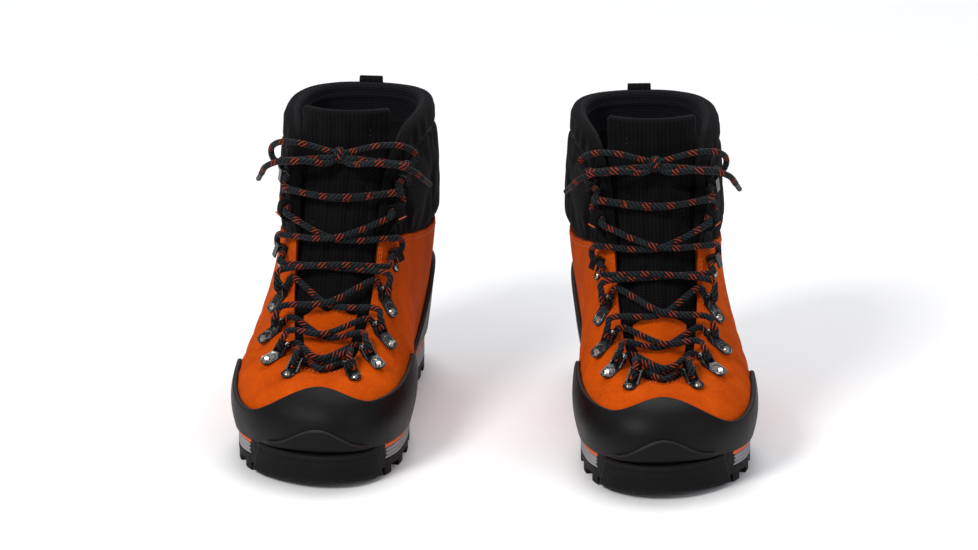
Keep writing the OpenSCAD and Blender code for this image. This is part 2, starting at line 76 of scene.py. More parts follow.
def area_light(name, place, size, power, tint=(1, 1, 1)):
    data = bpy.data.lights.new(name, "AREA")
    data.shape, data.size, data.energy, data.color = "DISK", size, power, tint
    light = bpy.data.objects.new(name, data)
    bpy.context.scene.collection.objects.link(light)
    light.location = place
    light.rotation_euler = (AIM - Vector(place)).to_track_quat("-Z", "Y").to_euler()


def make_studio():
    area_light("key_light", (-1.5, -1.9, 2.1), 1.0, 62, (1, 0.985, 0.96))
    area_light("fill_light", (1.9, -1.6, 1.2), 1.6, 11, (0.95, 0.97, 1))
    area_light("top_light", (0.1, 0.9, 2.4), 1.6, 34)
    world = bpy.data.worlds.new("studio")
    bpy.context.scene.world = world
    world.use_nodes = True
    world.node_tree.nodes["Background"].inputs["Color"].default_value = (0.93, 0.95, 1, 1)
    world.node_tree.nodes["Background"].inputs["Strength"].default_value = 0.42
    bpy.ops.mesh.primitive_plane_add(size=30, location=(0, 6, 0))
    floor = bpy.context.object
    floor.name = "studio_floor"
    floor.data.materials.append(floor_paint())
    bpy.context.scene.view_settings.view_transform = "Standard"


# ------------------------------------------------------------------ materials
def rgb(code):
    """Linear colour of an sRGB hex value."""
    parts = [int(code[i:i + 2], 16) / 255 for i in (1, 3, 5)]
    return tuple(c / 12.92 if c <= 0.04045 else ((c + 0.055) / 1.055) ** 2.4 for c in parts) + (1.0,)


def blobs(size_mm):
    """Scale of a noise whose blobs are about size_mm across, on coordinates in metres."""
    return 1000 / (2 * size_mm)


def new_material(name, **finish):
    """A material and its node tree, with the constant parts of its finish set on the shader."""
    material = bpy.data.materials.new(name)
    material.use_nodes = True
    shader = material.node_tree.nodes["Principled BSDF"]
    for socket, value in finish.items():
        shader.inputs[socket.replace("_", " ")].default_value = value
    return material, material.node_tree


def add(tree, kind, output, inputs=(), **settings):
    """Adds a shader node with its settings and links, and gives one of its outputs. Its inputs, by name or
    in order, are numbers, hex colours or the outputs that feed them."""
    node = tree.nodes.new("ShaderNode" + kind)
    for name, value in settings.items():
        setattr(node, name, value)
    for name, value in inputs.items() if isinstance(inputs, dict) else enumerate(inputs):
        if isinstance(value, bpy.types.NodeSocket):
            tree.links.new(value, node.inputs[name])
        else:
            node.inputs[name].default_value = rgb(value) if isinstance(value, str) else value
    return node.outputs[output]


def finished(material, **feeds):
    """The material, with the outputs that vary over it linked to its shader."""
    tree = material.node_tree
    for socket, output in feeds.items():
        tree.links.new(output, tree.nodes["Principled BSDF"].inputs[socket.replace("_", " ")])
    return material


def floor_paint():
    """Rolled white studio paint: matt, with faint cloudy differences in its white."""
    material, tree = new_material("white_studio_paint", Roughness=0.6)
    where = add(tree, "TexCoord", "Object")
    cloud = add(tree, "TexNoise", "Fac", {"Vector": where, "Scale": blobs(300), "Detail": 2})
    colour = add(tree, "Mix", 2, {0: cloud, 6: "#f4f4f5", 7: "#fafafa"}, data_type="RGBA")
    return finished(material, Base_Color=colour)


def suede_leather():
    """Suede leather, brushed so that its nap lies in patches: matt, with soft lighter and darker areas,
    a fine grain of fibre bundles, a pale sheen at grazing angles and burnished darker cut edges."""
    material, tree = new_material(
        "suede_leather", Roughness=0.95, IOR=1.45, Sheen_Weight=0.05, Sheen_Roughness=0.4,
        Sheen_Tint=rgb("#ff7a2c"), Specular_IOR_Level=0.06)
    where = add(tree, "TexCoord", "Object")
    nap = add(tree, "TexNoise", "Fac", {
        "Vector": where, "Scale": blobs(14), "Detail": 4, "Roughness": 0.6, "Distortion": 0.4})
    # fibre bundles of 0.3 mm, drawn at 0.9 mm so that they show
    grain = add(tree, "TexNoise", "Fac", {
        "Vector": where, "Scale": blobs(0.9), "Detail": 3, "Roughness": 0.7})
    pores = add(tree, "TexNoise", "Fac", {"Vector": where, "Scale": blobs(0.35), "Detail": 2})
    patches = add(tree, "MapRange", 0, [nap, 0.3, 0.7])
    fibres = add(tree, "MapRange", 0, [grain, 0.35, 0.75, 0.0, 0.4])
    pits = add(tree, "MapRange", 0, [pores, 0.55, 0.8, 0.0, 0.35])
    burnish = add(tree, "MapRange", 0, [add(tree, "Attribute", "Fac", attribute_name="edge"), 0.0, 0.9])
    colour = add(tree, "Mix", 2, {0: patches, 6: "#a03702", 7: "#c24a04"}, data_type="RGBA")
    colour = add(tree, "Mix", 2, {0: fibres, 6: colour, 7: "#d05a10"}, data_type="RGBA")
    colour = add(tree, "Mix", 2, {0: pits, 6: colour, 7: "#7a2902"}, data_type="RGBA")
    colour = add(tree, "Mix", 2, {0: burnish, 6: "#5d2005", 7: colour}, data_type="RGBA")
    coarse = add(tree, "Math", 0, [grain, 0.6], operation="MULTIPLY")
    fine = add(tree, "Math", 0, [pores, 0.4], operation="MULTIPLY")
    height = add(tree, "Math", 0, [coarse, fine])
    bump = add(tree, "Bump", 0, {"Height": height, "Distance": 0.35 * MM})
    return finished(material, Base_Color=colour, Normal=bump)


def rand_rubber():
    """Smooth vulcanised rubber sheet: near-black, satin, with faint scuffs and dust along its length, and a
    painted highlight: a lighter colour along its rounded cut edges.
    """
    material, tree = new_material("rand_rubber", IOR=1.52, Specular_IOR_Level=0.12)
    where = add(tree, "TexCoord", "Object")
    cloud = add(tree, "TexNoise", "Fac", {
        "Vector": where, "Scale": blobs(18), "Detail": 4, "Roughness": 0.6})
    stretched = add(tree, "Mapping", 0, {"Vector": where, "Scale": (0.3, 0.3, 2.2)})
    streaks = add(tree, "TexNoise", "Fac", {
        "Vector": stretched, "Scale": blobs(1.6), "Detail": 5, "Roughness": 0.75})
    specks = add(tree, "TexNoise", "Fac", {"Vector": where, "Scale": blobs(0.6), "Detail": 2})
    grain = add(tree, "TexNoise", "Fac", {"Vector": where, "Scale": blobs(0.5), "Detail": 2})
    scuffs = add(tree, "MapRange", 0, [streaks, 0.6, 0.78])
    scuffed = add(tree, "Math", 0, [scuffs, 0.35], operation="MULTIPLY")
    dust = add(tree, "MapRange", 0, [specks, 0.62, 0.8, 0.0, 0.5])
    dusty = add(tree, "Math", 0, [dust, 0.25], operation="MULTIPLY")
    # painted highlight: the rounded cut edges get a lighter colour where light would catch them
    painted_edge_highlight = add(tree, "MapRange", 0, [add(tree, "Attribute", "Fac", attribute_name="edge"), 0.0, 1.0])
    colour = add(tree, "Mix", 2, {0: cloud, 6: "#080708", 7: "#0e0d0e"}, data_type="RGBA")
    colour = add(tree, "Mix", 2, {0: scuffed, 6: colour, 7: "#2a2624"}, data_type="RGBA")
    colour = add(tree, "Mix", 2, {0: dusty, 6: colour, 7: "#37322f"}, data_type="RGBA")
    colour = add(tree, "Mix", 2, {0: painted_edge_highlight, 6: "#2b2725", 7: colour}, data_type="RGBA")
    satin = add(tree, "MapRange", 0, [cloud, 0.3, 0.7, 0.42, 0.58])
    scratch = add(tree, "Math", 0, [scuffs, 0.5], operation="MULTIPLY")
    height = add(tree, "Math", 0, [grain, scratch])
    bump = add(tree, "Bump", 0, {"Height": height, "Distance": 0.12 * MM})
    return finished(material, Base_Color=colour, Roughness=satin, Normal=bump)


def sole_rubber():
    """Moulded carbon-black rubber: matt and dull, with a fine spark-eroded grain and convex edges coloured
    a little lighter.
    """
    material, tree = new_material("sole_rubber", IOR=1.52, Specular_IOR_Level=0.1)
    where = add(tree, "TexCoord", "Object")
    cloud = add(tree, "TexNoise", "Fac", {
        "Vector": where, "Scale": blobs(10), "Detail": 4, "Roughness": 0.65})
    spark = add(tree, "TexNoise", "Fac", {
        "Vector": where, "Scale": blobs(0.7), "Detail": 2, "Roughness": 0.6})
    specks = add(tree, "MapRange", 0, [spark, 0.6, 0.8, 0.0, 0.35])
    # colour a little lighter where the surface is convex, found by pointiness
    crowns = add(tree, "MapRange", 0, [add(tree, "NewGeometry", "Pointiness"), 0.5, 0.56, 0.0, 0.5])
    colour = add(tree, "Mix", 2, {0: cloud, 6: "#090809", 7: "#110f10"}, data_type="RGBA")
    colour = add(tree, "Mix", 2, {0: specks, 6: colour, 7: "#2f2b28"}, data_type="RGBA")
    colour = add(tree, "Mix", 2, {0: crowns, 6: colour, 7: "#262221"}, data_type="RGBA")
    dull = add(tree, "MapRange", 0, [spark, 0.3, 0.7, 0.55, 0.75])
    bump = add(tree, "Bump", 0, {"Height": spark, "Distance": 0.25 * MM})
    return finished(material, Base_Color=colour, Roughness=dull, Normal=bump)


def moulded_foam(name, dark, light):
    """Injection-moulded polyurethane: even colour, satin-matt skin with a pebbled mould grain of 1.1 mm."""
    material, tree = new_material(name, IOR=1.5, Specular_IOR_Level=0.35)
    where = add(tree, "TexCoord", "Object")
    cloud = add(tree, "TexNoise", "Fac", {"Vector": where, "Scale": blobs(12), "Detail": 3})
    pebbles = add(tree, "TexVoronoi", "Distance", {"Vector": where, "Scale": 1000 / 1.1})
    patches = add(tree, "MapRange", 0, [cloud, 0.3, 0.7])
    colour = add(tree, "Mix", 2, {0: patches, 6: dark, 7: light}, data_type="RGBA")
    satin = add(tree, "MapRange", 0, [cloud, 0.3, 0.7, 0.5, 0.65])
    bump = add(tree, "Bump", 0, {"Height": pebbles, "Distance": 0.15 * MM})
    return finished(material, Base_Color=colour, Roughness=satin, Normal=bump)


def woven_fabric(name, dark, light, thread_mm, sheen, ribs=1.0):
    """Woven synthetic cloth: two crossing sets of threads that catch the light on their crowns.
    Its pattern runs on the piece's own flat coordinates, in metres; ribs is how close its threads lie one
    way to the other way. A wave texture of scale s repeats every pi / (10 s) metres."""
    material, tree = new_material(
        name, Roughness=0.88, IOR=1.5, Sheen_Weight=sheen, Sheen_Roughness=0.4,
        Sheen_Tint=rgb("#b9b9c4"), Specular_IOR_Level=0.1)
    flat = add(tree, "UVMap", 0, uv_map="flat")
    bands = [add(tree, "TexWave", "Fac", {
        "Vector": flat, "Scale": 100 * math.pi / thread_mm * share, "Distortion": 0.8, "Detail": 1.0,
        "Detail Scale": 0.4}, bands_direction=axis) for axis, share in (("X", ribs), ("Y", 1.0))]
    threads = add(tree, "Math", 0, bands, operation="MULTIPLY")
    cloud = add(tree, "TexNoise", "Fac", {
        "Vector": flat, "Scale": blobs(9), "Detail": 3, "Roughness": 0.6})
    slubs = add(tree, "TexNoise", "Fac", {"Vector": flat, "Scale": blobs(0.8), "Detail": 2})
    shade = add(tree, "MapRange", 0, [cloud, 0.35, 0.75, 0.0, 0.35])
    colour = add(tree, "Mix", 2, {0: threads, 6: dark, 7: light}, data_type="RGBA")
    colour = add(tree, "Mix", 2, {0: shade, 6: colour, 7: dark}, data_type="RGBA")
    uneven = add(tree, "Math", 0, [slubs, 0.4], operation="MULTIPLY")
    height = add(tree, "Math", 0, [threads, uneven])
    bump = add(tree, "Bump", 0, {"Height": height, "Distance": 0.3 * MM})
    return finished(material, Base_Color=colour, Normal=bump)


def lace_braid():
    """Round braided polyester lace: strands in two crossing helices, most of them black. Some carry
    teal-grey or orange yarn, which shows as short slanted flecks in turn along the lace. The real sixteen
    strands are drawn as four each way, with a crossing every 2.9 mm, so that they show."""
    material, tree = new_material(
        "lace_braid", Roughness=0.8, IOR=1.5, Sheen_Weight=0.05, Sheen_Roughness=0.4,
        Specular_IOR_Level=0.2)
    around = add(tree, "SeparateXYZ", 0, [add(tree, "UVMap", 0, uv_map="flat")])   # turns round the lace
    along = around.node.outputs[1]                                               # metres along it
    strands, pitch_mm, colours_mm = 4.0, 2.9, 15
    advance = add(tree, "Math", 0, [along, 1000 / pitch_mm], operation="MULTIPLY")
    waves = []
    for way in (1.0, -1.0):
        turn = add(tree, "Math", 0, [around, strands * way], operation="MULTIPLY")
        phase = add(tree, "Math", 0, [turn, advance])
        angle = add(tree, "Math", 0, [phase, 2 * math.pi], operation="MULTIPLY")
        waves.append(add(tree, "Math", 0, [angle], operation="SINE"))
    braid = add(tree, "Math", 0, waves, operation="MAXIMUM")
    fleck = add(tree, "MapRange", 0, [waves[0], 0.6, 0.9])
    angle = add(tree, "Math", 0, [along, 2 * math.pi * 1000 / colours_mm], operation="MULTIPLY")
    section = add(tree, "Math", 0, [angle], operation="SINE")
    warm = add(tree, "MapRange", 0, [section, 0.35, 0.55])
    cool = add(tree, "MapRange", 0, [section, 0.1, -0.3, 0.1, 0.75])
    orange_fleck = add(tree, "Math", 0, [fleck, warm], operation="MULTIPLY")
    teal_fleck = add(tree, "Math", 0, [fleck, cool], operation="MULTIPLY")
    crowns = add(tree, "MapRange", 0, [braid, 0.2, 1.0])
    colour = add(tree, "Mix", 2, {0: crowns, 6: "#020203", 7: "#08090b"}, data_type="RGBA")
    colour = add(tree, "Mix", 2, {0: teal_fleck, 6: colour, 7: "#22343d"}, data_type="RGBA")
    colour = add(tree, "Mix", 2, {0: orange_fleck, 6: colour, 7: "#a83514"}, data_type="RGBA")
    bump = add(tree, "Bump", 0, {"Height": braid, "Distance": 0.22 * MM})
    return finished(material, Base_Color=colour, Normal=bump)


def sewing_thread(name, dark, light):
    """Bonded polyester thread: a tight twist of 0.4 mm with a slight gloss."""
    material, tree = new_material(name, Roughness=0.55, IOR=1.5)
    where = add(tree, "TexCoord", "Object")
    twist = add(tree, "TexNoise", "Fac", {"Vector": where, "Scale": blobs(0.4), "Detail": 2})
    colour = add(tree, "Mix", 2, {0: twist, 6: dark, 7: light}, data_type="RGBA")
    bump = add(tree, "Bump", 0, {"Height": twist, "Distance": 0.1 * MM})
    return finished(material, Base_Color=colour, Normal=bump)


def lace_tip_plastic():
    """Acetate film moulded round the lace's end: black and half glossy, with the braid under it showing
    as small lumps."""
    material, tree = new_material("lace_tip_plastic", Roughness=0.55, IOR=1.5)
    where = add(tree, "TexCoord", "Object")
    lumps = add(tree, "TexNoise", "Fac", {"Vector": where, "Scale": blobs(0.4), "Detail": 2})
    colour = add(tree, "Mix", 2, {0: lumps, 6: "#0b0b0c", 7: "#1a1a1c"}, data_type="RGBA")
    bump = add(tree, "Bump", 0, {"Height": lumps, "Distance": 0.1 * MM})
    return finished(material, Base_Color=colour, Normal=bump)


def coated_steel(name, coat, bare, bare_share):
    """Stamped steel under a thin black coat: semi-gloss, rubbed through to bright steel in patches."""
    material, tree = new_material(name)
    where = add(tree, "TexCoord", "Object")
    rub = add(tree, "TexNoise", "Fac", {
        "Vector": where, "Scale": blobs(2.2), "Detail": 4, "Roughness": 0.7})
    grain = add(tree, "TexNoise", "Fac", {"Vector": where, "Scale": blobs(0.5), "Detail": 2})
    worn = add(tree, "MapRange", 0, [rub, 1.0 - bare_share, 1.08 - bare_share])
    colour = add(tree, "Mix", 2, {0: worn, 6: coat, 7: bare}, data_type="RGBA")
    metal = add(tree, "MapRange", 0, [worn, 0.0, 1.0, 0.35, 1.0])
    gloss = add(tree, "MapRange", 0, [rub, 0.3, 0.7, 0.2, 0.36])
    bump = add(tree, "Bump", 0, {"Height": grain, "Distance": 0.03 * MM})
    return finished(material, Base_Color=colour, Metallic=metal, Roughness=gloss, Normal=bump)


def polished_nickel():
    """Nickel-plated brass, barrel polished: bright warm grey with faint tumbling marks."""
    material, tree = new_material("polished_nickel", Metallic=1.0)
    where = add(tree, "TexCoord", "Object")
    marks = add(tree, "TexNoise", "Fac", {"Vector": where, "Scale": blobs(0.5), "Detail": 3})
    colour = add(tree, "Mix", 2, {0: marks, 6: "#8e8a84", 7: "#aeaaa3"}, data_type="RGBA")
    gloss = add(tree, "MapRange", 0, [marks, 0.3, 0.7, 0.2, 0.34])
    return finished(material, Base_Color=colour, Roughness=gloss)


def felt(name, dark, light):
    """Pressed fibre felt: matt, with a soft uneven pile."""
    material, tree = new_material(name, Roughness=0.95, Sheen_Weight=0.2)
    where = add(tree, "TexCoord", "Object")
    pile = add(tree, "TexNoise", "Fac", {
        "Vector": where, "Scale": blobs(0.8), "Detail": 4, "Roughness": 0.7})
    colour = add(tree, "Mix", 2, {0: pile, 6: dark, 7: light}, data_type="RGBA")
    bump = add(tree, "Bump", 0, {"Height": pile, "Distance": 0.4 * MM})
    return finished(material, Base_Color=colour, Normal=bump)


SUEDE = suede_leather()
RAND = rand_rubber()
SOLE = sole_rubber()
GREY_FOAM = moulded_foam("grey_polyurethane", "#7b7a7d", "#8f8e91")
ORANGE_FOAM = moulded_foam("orange_polyurethane", "#c8480f", "#dc5a1c")
SOFTSHELL = woven_fabric("softshell_fabric", "#030304", "#0f0e10", 1.0, 0.025)
TONGUE_CLOTH = woven_fabric("tongue_fabric", "#040405", "#151316", 1.3, 0.04, 0.5)
LINING = woven_fabric("lining_mesh", "#0a0a0c", "#222327", 1.8, 0.04)
WEBBING = woven_fabric("webbing_tape", "#040405", "#161518", 1.5, 0.03, 0.4)
LACE = lace_braid()
ORANGE_THREAD = sewing_thread("orange_thread", "#a83c07", "#cf5a17")
BLACK_THREAD = sewing_thread("black_thread", "#0c0c0d", "#2a292b")
BLACK_PLATE = coated_steel("black_coated_steel", "#1b1b1e", "#8f8d8a", 0.4)
GUNMETAL = coated_steel("gunmetal_steel", "#3a3a3e", "#8b8987", 0.5)
NICKEL = polished_nickel()
FELT = felt("insole_felt", "#17171a", "#2c2c30")
BOARD = felt("pressed_fibre_board", "#6a4c2c", "#8d6a42")
TIP = lace_tip_plastic()

# ------------------------------------------------------------------ the last
# Sixteen columns run from the middle of the toe along the inner side to the heel and back along the
# outer side; seven rings rise from the feather line to the throat edge and the top line.
FEATHER = [
    [6, -149, 25], [36, -137, 23.5], [51, -92, 20], [48, -40, 21], [38, 10, 24], [35, 60, 27],
    [39, 106, 27], [30, 142, 27], [-1, 151, 27], [-32, 142, 27], [-41, 106, 27], [-44, 60, 27],
    [-51, 8, 24], [-58, -44, 20.5], [-56, -96, 20], [-32, -132, 23]]
BULGE = [
    [6, -152, 38], [39, -140, 37], [55, -92, 35], [52, -40, 36], [42, 10, 38], [38, 60, 40],
    [41, 107, 40], [31, 146, 40], [-1, 155, 40], [-33, 146, 40], [-43, 107, 40], [-47, 60, 40],
    [-54, 8, 38], [-61, -44, 36], [-60, -96, 35], [-35, -136, 37]]
SIDE = [
    [5, -145, 53], [36, -132, 51], [53, -90, 51], [51, -40, 56], [43, 10, 58], [41, 60, 60],
    [43, 107, 60], [32, 145, 60], [-1, 154, 61], [-34, 145, 60], [-45, 107, 60], [-48, 60, 60],
    [-54, 8, 58], [-60, -44, 56], [-57, -94, 50], [-33, -129, 51]]
CAP = [
    [4, -123, 60.5], [27, -115, 60], [42, -86, 64], [45, -42, 76], [44, 8, 82], [46, 60, 84],
    [47, 104, 84], [32, 136, 86], [-1, 143, 87], [-33, 136, 86], [-48, 104, 84], [-50, 60, 84],
    [-50, 8, 82], [-48, -42, 75], [-44, -86, 63], [-24, -112, 60]]
EYESTAY = [
    [3, -110, 60.5], [21, -103, 60.5], [32, -82, 69.5], [36, -44, 91], [40, 0, 115], [49, 56, 114],
    [50, 100, 114], [33, 129, 116], [-1, 136, 117], [-34, 129, 116], [-50, 100, 114], [-50, 56, 114],
    [-41, 0, 115], [-37, -44, 91], [-32, -82, 69.5], [-19, -102, 60.5]]
ANKLE = [
    [2, -103, 60.5], [19, -96, 61.5], [27, -76, 71], [31, -42, 97], [34, -4, 140], [48, 44, 150],
    [49, 98, 150], [33, 128, 151], [-1, 135, 152], [-34, 128, 151], [-50, 98, 150], [-48, 44, 150],
    [-34, -4, 140], [-31, -42, 97], [-26, -76, 71], [-17, -95, 61.5]]
TOP = [
    [2, -98, 60.5], [17, -91, 62], [22, -71, 72], [26, -37, 103], [28, 0, 177], [44, 32, 191],
    [49, 98, 189], [33, 131, 187], [-1, 138, 187], [-34, 131, 187], [-49, 98, 189], [-44, 32, 191],
    [-28, 0, 177], [-26, -37, 103], [-21, -71, 72], [-15, -90, 62]]
CAGE = np.array([FEATHER, BULGE, SIDE, CAP, EYESTAY, ANKLE, TOP], float)
RINGS, COLUMNS = CAGE.shape[:2]
EDGED = np.concatenate([[2 * CAGE[0] - CAGE[1]], CAGE, [2 * CAGE[-1] - CAGE[-2]]])


def weights(f):
    g = 1 - f
    return np.stack([g**3, 3 * f**3 - 6 * f**2 + 4, -3 * f**3 + 3 * f**2 + 3 * f + 1, f**3]) / 6


def slopes(f):
    g = 1 - f
    return np.stack([-g**2, 3 * f**2 - 4 * f, -3 * f**2 + 2 * f + 1, f**2]) / 2


def weave(u, v, of_u, of_v):
    u, v = np.broadcast_arrays(np.asarray(u, float), np.asarray(v, float))
    column, ring = np.floor(u).astype(int), np.clip(np.floor(v).astype(int), 0, RINGS - 2)
    wu, wv = of_u(u - column), of_v(v - ring)
    return sum((wu[a] * wv[b])[..., None] * EDGED[ring + b, (column + a - 1) % COLUMNS]
               for a in range(4) for b in range(4))


def unit(p):
    return p / np.maximum(np.linalg.norm(p, axis=-1, keepdims=True), 1e-9)


def last_point(u, v):
    return weave(u, v, weights, weights)


def outward(u, v):
    return unit(np.cross(weave(u, v, slopes, weights), weave(u, v, weights, slopes)))


def skin(u, v, height):
    """Points at a height over the last."""
    return last_point(u, v) + np.asarray(height)[..., None] * outward(u, v)


def through(points, t):
    """Smooth curve through points; t counts them."""
    points, t = np.asarray(points, float), np.asarray(t, float)
    whole = np.vstack([2 * points[0] - points[1], points, 2 * points[-1] - points[-2]])
    i = np.clip(np.floor(t).astype(int), 0, len(points) - 2)
    f = (t - i)[..., None]
    a, b, c, d = (whole[i + k] for k in range(4))
    return (2 * b + (c - a) * f + (2 * a - 5 * b + 4 * c - d) * f**2 + (3 * b - a - 3 * c + d) * f**3) / 2


def eased(table, x):
    """Value at x of a line through [position, value] pairs that is level at each of them."""
    xs, ys = np.array(table, float).T
    i = np.clip(np.searchsorted(xs, x) - 1, 0, len(xs) - 2)
    t = np.clip((x - xs[i]) / (xs[i + 1] - xs[i]), 0, 1)
    return ys[i] + (ys[i + 1] - ys[i]) * (1 - np.cos(np.pi * t)) / 2


def ramp(x, low, high):
    t = np.clip((x - low) / (high - low), 0, 1)
    return t * t * (3 - 2 * t)


def from_toe(u):
    w = np.mod(u, COLUMNS)
    return np.minimum(w, COLUMNS - w)


# ------------------------------------------------------------------ a boot's own frame
JOINTS = {joint["name"]: joint for joint in frame["record"]["behaviour"]["joints"]}
ANKLE_AXIS = (-1, 30)           # where the ankle hinge crosses the boot, seen from above


class Boot:
    """Where one boot stands, and the pieces that are built on it."""

    bend = (112, 138)       # heights of a band over the ankle, in millimetres; on() places them but bends nothing

    def __init__(self, side):
        self.side = side
        self.hand = 1 if side == "right" else -1
        hinge = JOINTS[f"{side}_ankle_flex"]
        angle = math.atan2(hinge["axis"][1], hinge["axis"][0])
        self.turn = np.array([[math.cos(angle), -math.sin(angle)], [math.sin(angle), math.cos(angle)]])
        ankle = self.turn @ (ANKLE_AXIS[0] * self.hand, ANKLE_AXIS[1])
        self.origin = np.array(hinge["pos_m"][:2]) / MM - ankle
        self.foot, self.cuff = f"{side}_foot", f"{side}_cuff"

    def place(self, points):
        p = np.array(points, float) * (self.hand, 1, 1)
        p[..., :2] = p[..., :2] @ self.turn.T + self.origin
        return p * MM

    def add_mesh(self, name, points, faces, materials, flat=None, edge=None, choice=None, corners=None):
        """A mesh piece from points in the boot's own frame. flat holds each point's flat coordinates in
        metres, or corners each face corner's. edge is 0 at a cut edge and 1 away from it, and choice is
        each face's material."""
        if self.hand < 0:
            faces = [tuple(reversed(face)) for face in faces]
            corners = [list(reversed(face)) for face in corners] if corners else None
        mesh = bpy.data.meshes.new(f"{self.side}_{name}")
        mesh.from_pydata(self.place(points).tolist(), [], faces)
        for material in materials:
            mesh.materials.append(material)
        mesh.polygons.foreach_set("use_smooth", [True] * len(faces))
        if choice is not None:
            mesh.polygons.foreach_set("material_index", choice)
        if corners is not None:
            layer = mesh.uv_layers.new(name="flat")
            layer.data.foreach_set("uv", np.array([c for face in corners for c in face], float).ravel())
        if flat is not None:
            loops = np.empty(len(mesh.loops), int)
            mesh.loops.foreach_get("vertex_index", loops)
            mesh.uv_layers.new(name="flat").data.foreach_set("uv", np.asarray(flat, float)[loops].ravel())
        if edge is not None:
            nearness = mesh.attributes.new("edge", "FLOAT", "POINT")
            nearness.data.foreach_set("value", np.asarray(edge, np.float32))
        mesh.update()
        piece = bpy.data.objects.new(f"{self.side}_{name}", mesh)
        bpy.context.scene.collection.objects.link(piece)
        return piece

    def on(self, piece, body, slot, *nodes):
        """The piece rides on a body, or for the ankle keeps its place with its transform baked into its
        mesh, and stands for these nodes.
        """
        if body == "ankle":
            low, high = self.bend
            self.place([0, 30, low])
            self.place([0, 30, high])
            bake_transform(piece)
        else:
            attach(piece, body)
        if nodes:
            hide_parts(*(f"{self.side}_{node}" for node in nodes))


def grid_faces(rows, columns, wrap=False, first=0):
    """Quads of a grid of points, rows along u and columns along v, seen from outside."""
    i, j = np.meshgrid(np.arange(rows if wrap else rows - 1), np.arange(columns - 1), indexing="ij")
    a, b = i * columns + j, ((i + 1) % rows) * columns + j
    return (np.stack([a, b, b + 1, a + 1], -1).reshape(-1, 4) + first).tolist()


def shell(boot, name, outer, inner, materials, wrap=False, edge=None, flat=None):
    """A closed piece between two grids of points of one size. The last material is its inner face's."""
    rows, columns = outer.shape[:2]
    count = rows * columns
    faces = grid_faces(rows, columns, wrap)
    back = [tuple(reversed(f)) for f in grid_faces(rows, columns, wrap, count)]
    low = [(i * columns, ((i + 1) % rows) * columns) for i in range(rows if wrap else rows - 1)]
    high = [(a + columns - 1, b + columns - 1) for a, b in low]
    rim = [(count + a, count + b, b, a) for a, b in low]
    rim += [(a, b, count + b, count + a) for a, b in high]
    if not wrap:
        last = (rows - 1) * columns
        rim += [(j, j + 1, count + j + 1, count + j) for j in range(columns - 1)]
        rim += [(count + j, count + j + 1, j + 1, j) for j in range(last, last + columns - 1)]
    choice = [0] * len(faces) + [len(materials) - 1] * len(back) + [0] * len(rim)
    if flat is None:
        along = np.concatenate([[0], np.cumsum(np.linalg.norm(np.diff(outer.mean(1), axis=0), axis=1))])
        up = np.cumsum(np.linalg.norm(np.diff(outer, axis=1, prepend=outer[:, :1]), axis=2), axis=1)
        flat = np.stack([np.broadcast_to(along[:, None], up.shape), up], -1) * MM
    flat = np.concatenate([flat.reshape(-1, 2)] * 2)
    near = np.ones((rows, columns)) if edge is None else edge
    near = np.concatenate([near.ravel(), near.ravel() * 0.4])
    points = np.concatenate([outer.reshape(-1, 3), inner.reshape(-1, 3)])
    return boot.add_mesh(name, points, faces + back + rim, materials, flat, near, choice)


MEASURED = 81           # points at which the length of a column is measured


def spread_rings(us, low, high, count, close_low, close_high):
    """Rings for each column from low(u) to high(u), evenly spread along the last, with close rows within
    close_low and close_high millimetres of the edges. Also gives each point's distance to either edge."""
    fine = low(us)[:, None] + (high(us) - low(us))[:, None] * np.linspace(0, 1, MEASURED)
    steps = np.linalg.norm(np.diff(last_point(us[:, None], fine), axis=1), axis=2)
    lengths = np.concatenate([np.zeros((len(us), 1)), np.cumsum(steps, axis=1)], axis=1)
    total = lengths[:, -1:]
    curl = 1 - np.cos(np.linspace(0, np.pi / 2, 7))
    start = curl[:-1] * close_low if close_low else np.zeros(0)
    end = -(curl[:-1][::-1]) * close_high if close_high else np.zeros(0)
    middle = close_low + (total - close_low - close_high) * np.linspace(0, 1, count)
    want = np.concatenate([np.broadcast_to(start, (len(us), len(start))), middle, total + end], axis=1)
    want = np.clip(want, 0, total)
    rings = np.stack([np.interp(want[i], lengths[i], fine[i]) for i in range(len(us))])
    return rings, want, total - want


def rings_below(us, distance, low, top, count):
    """For each column, the ring that lies a distance in millimetres below ring top(u)."""
    found = []
    for u in us:
        fine = np.linspace(low, float(top(u)), count)
        steps = np.linalg.norm(np.diff(last_point(u, fine), axis=0), axis=1)
        below = np.append(np.cumsum(steps[::-1])[::-1], 0)
        found.append(np.interp(-distance, -below, fine))
    return np.array(found)


def curled(distance, radius):
    """How far a rounded edge falls at a distance from it."""
    t = np.clip(distance / radius, 0, 1)
    return radius * (1 - np.sqrt(1 - (1 - t) ** 2))


# ------------------------------------------------------------------ upper
SUEDE_TOP = np.array([
    [3.28, 6], [3.4, 5.6], [3.5, 5.34], [3.6, 5.11], [3.8, 4.76], [4, 4.49],
    [4.4, 4.15], [4.9, 3.93], [5.6, 3.8], [6.5, 3.74], [8, 3.7]])
RAND_INNER = [[0, 2.75], [1.1, 2.0], [2.9, 2.15], [3.2, 0.35]]
RAND_OUTER = [[0, 2.75], [1.4, 1.35], [2.75, 1.95], [3.1, 0.35]]
CUP_TOP = [[4.6, 0.3], [6.3, 2.7], [8, 3.1]]
UPPER_T = 3.0                   # thickness of the upper
SUEDE_ROUND = 1.4               # radius of the suede's cut edge
SUEDE_SEAMS = (4.2, 7.0)        # distances from that edge to its two rows of stitches
RAND_GAP = 0.8                  # from the last to the rubber's back
RAND_T = 2.2
RAND_ROUND = 1.5


def suede_edge(u):
    return np.interp(from_toe(u), *SUEDE_TOP.T)


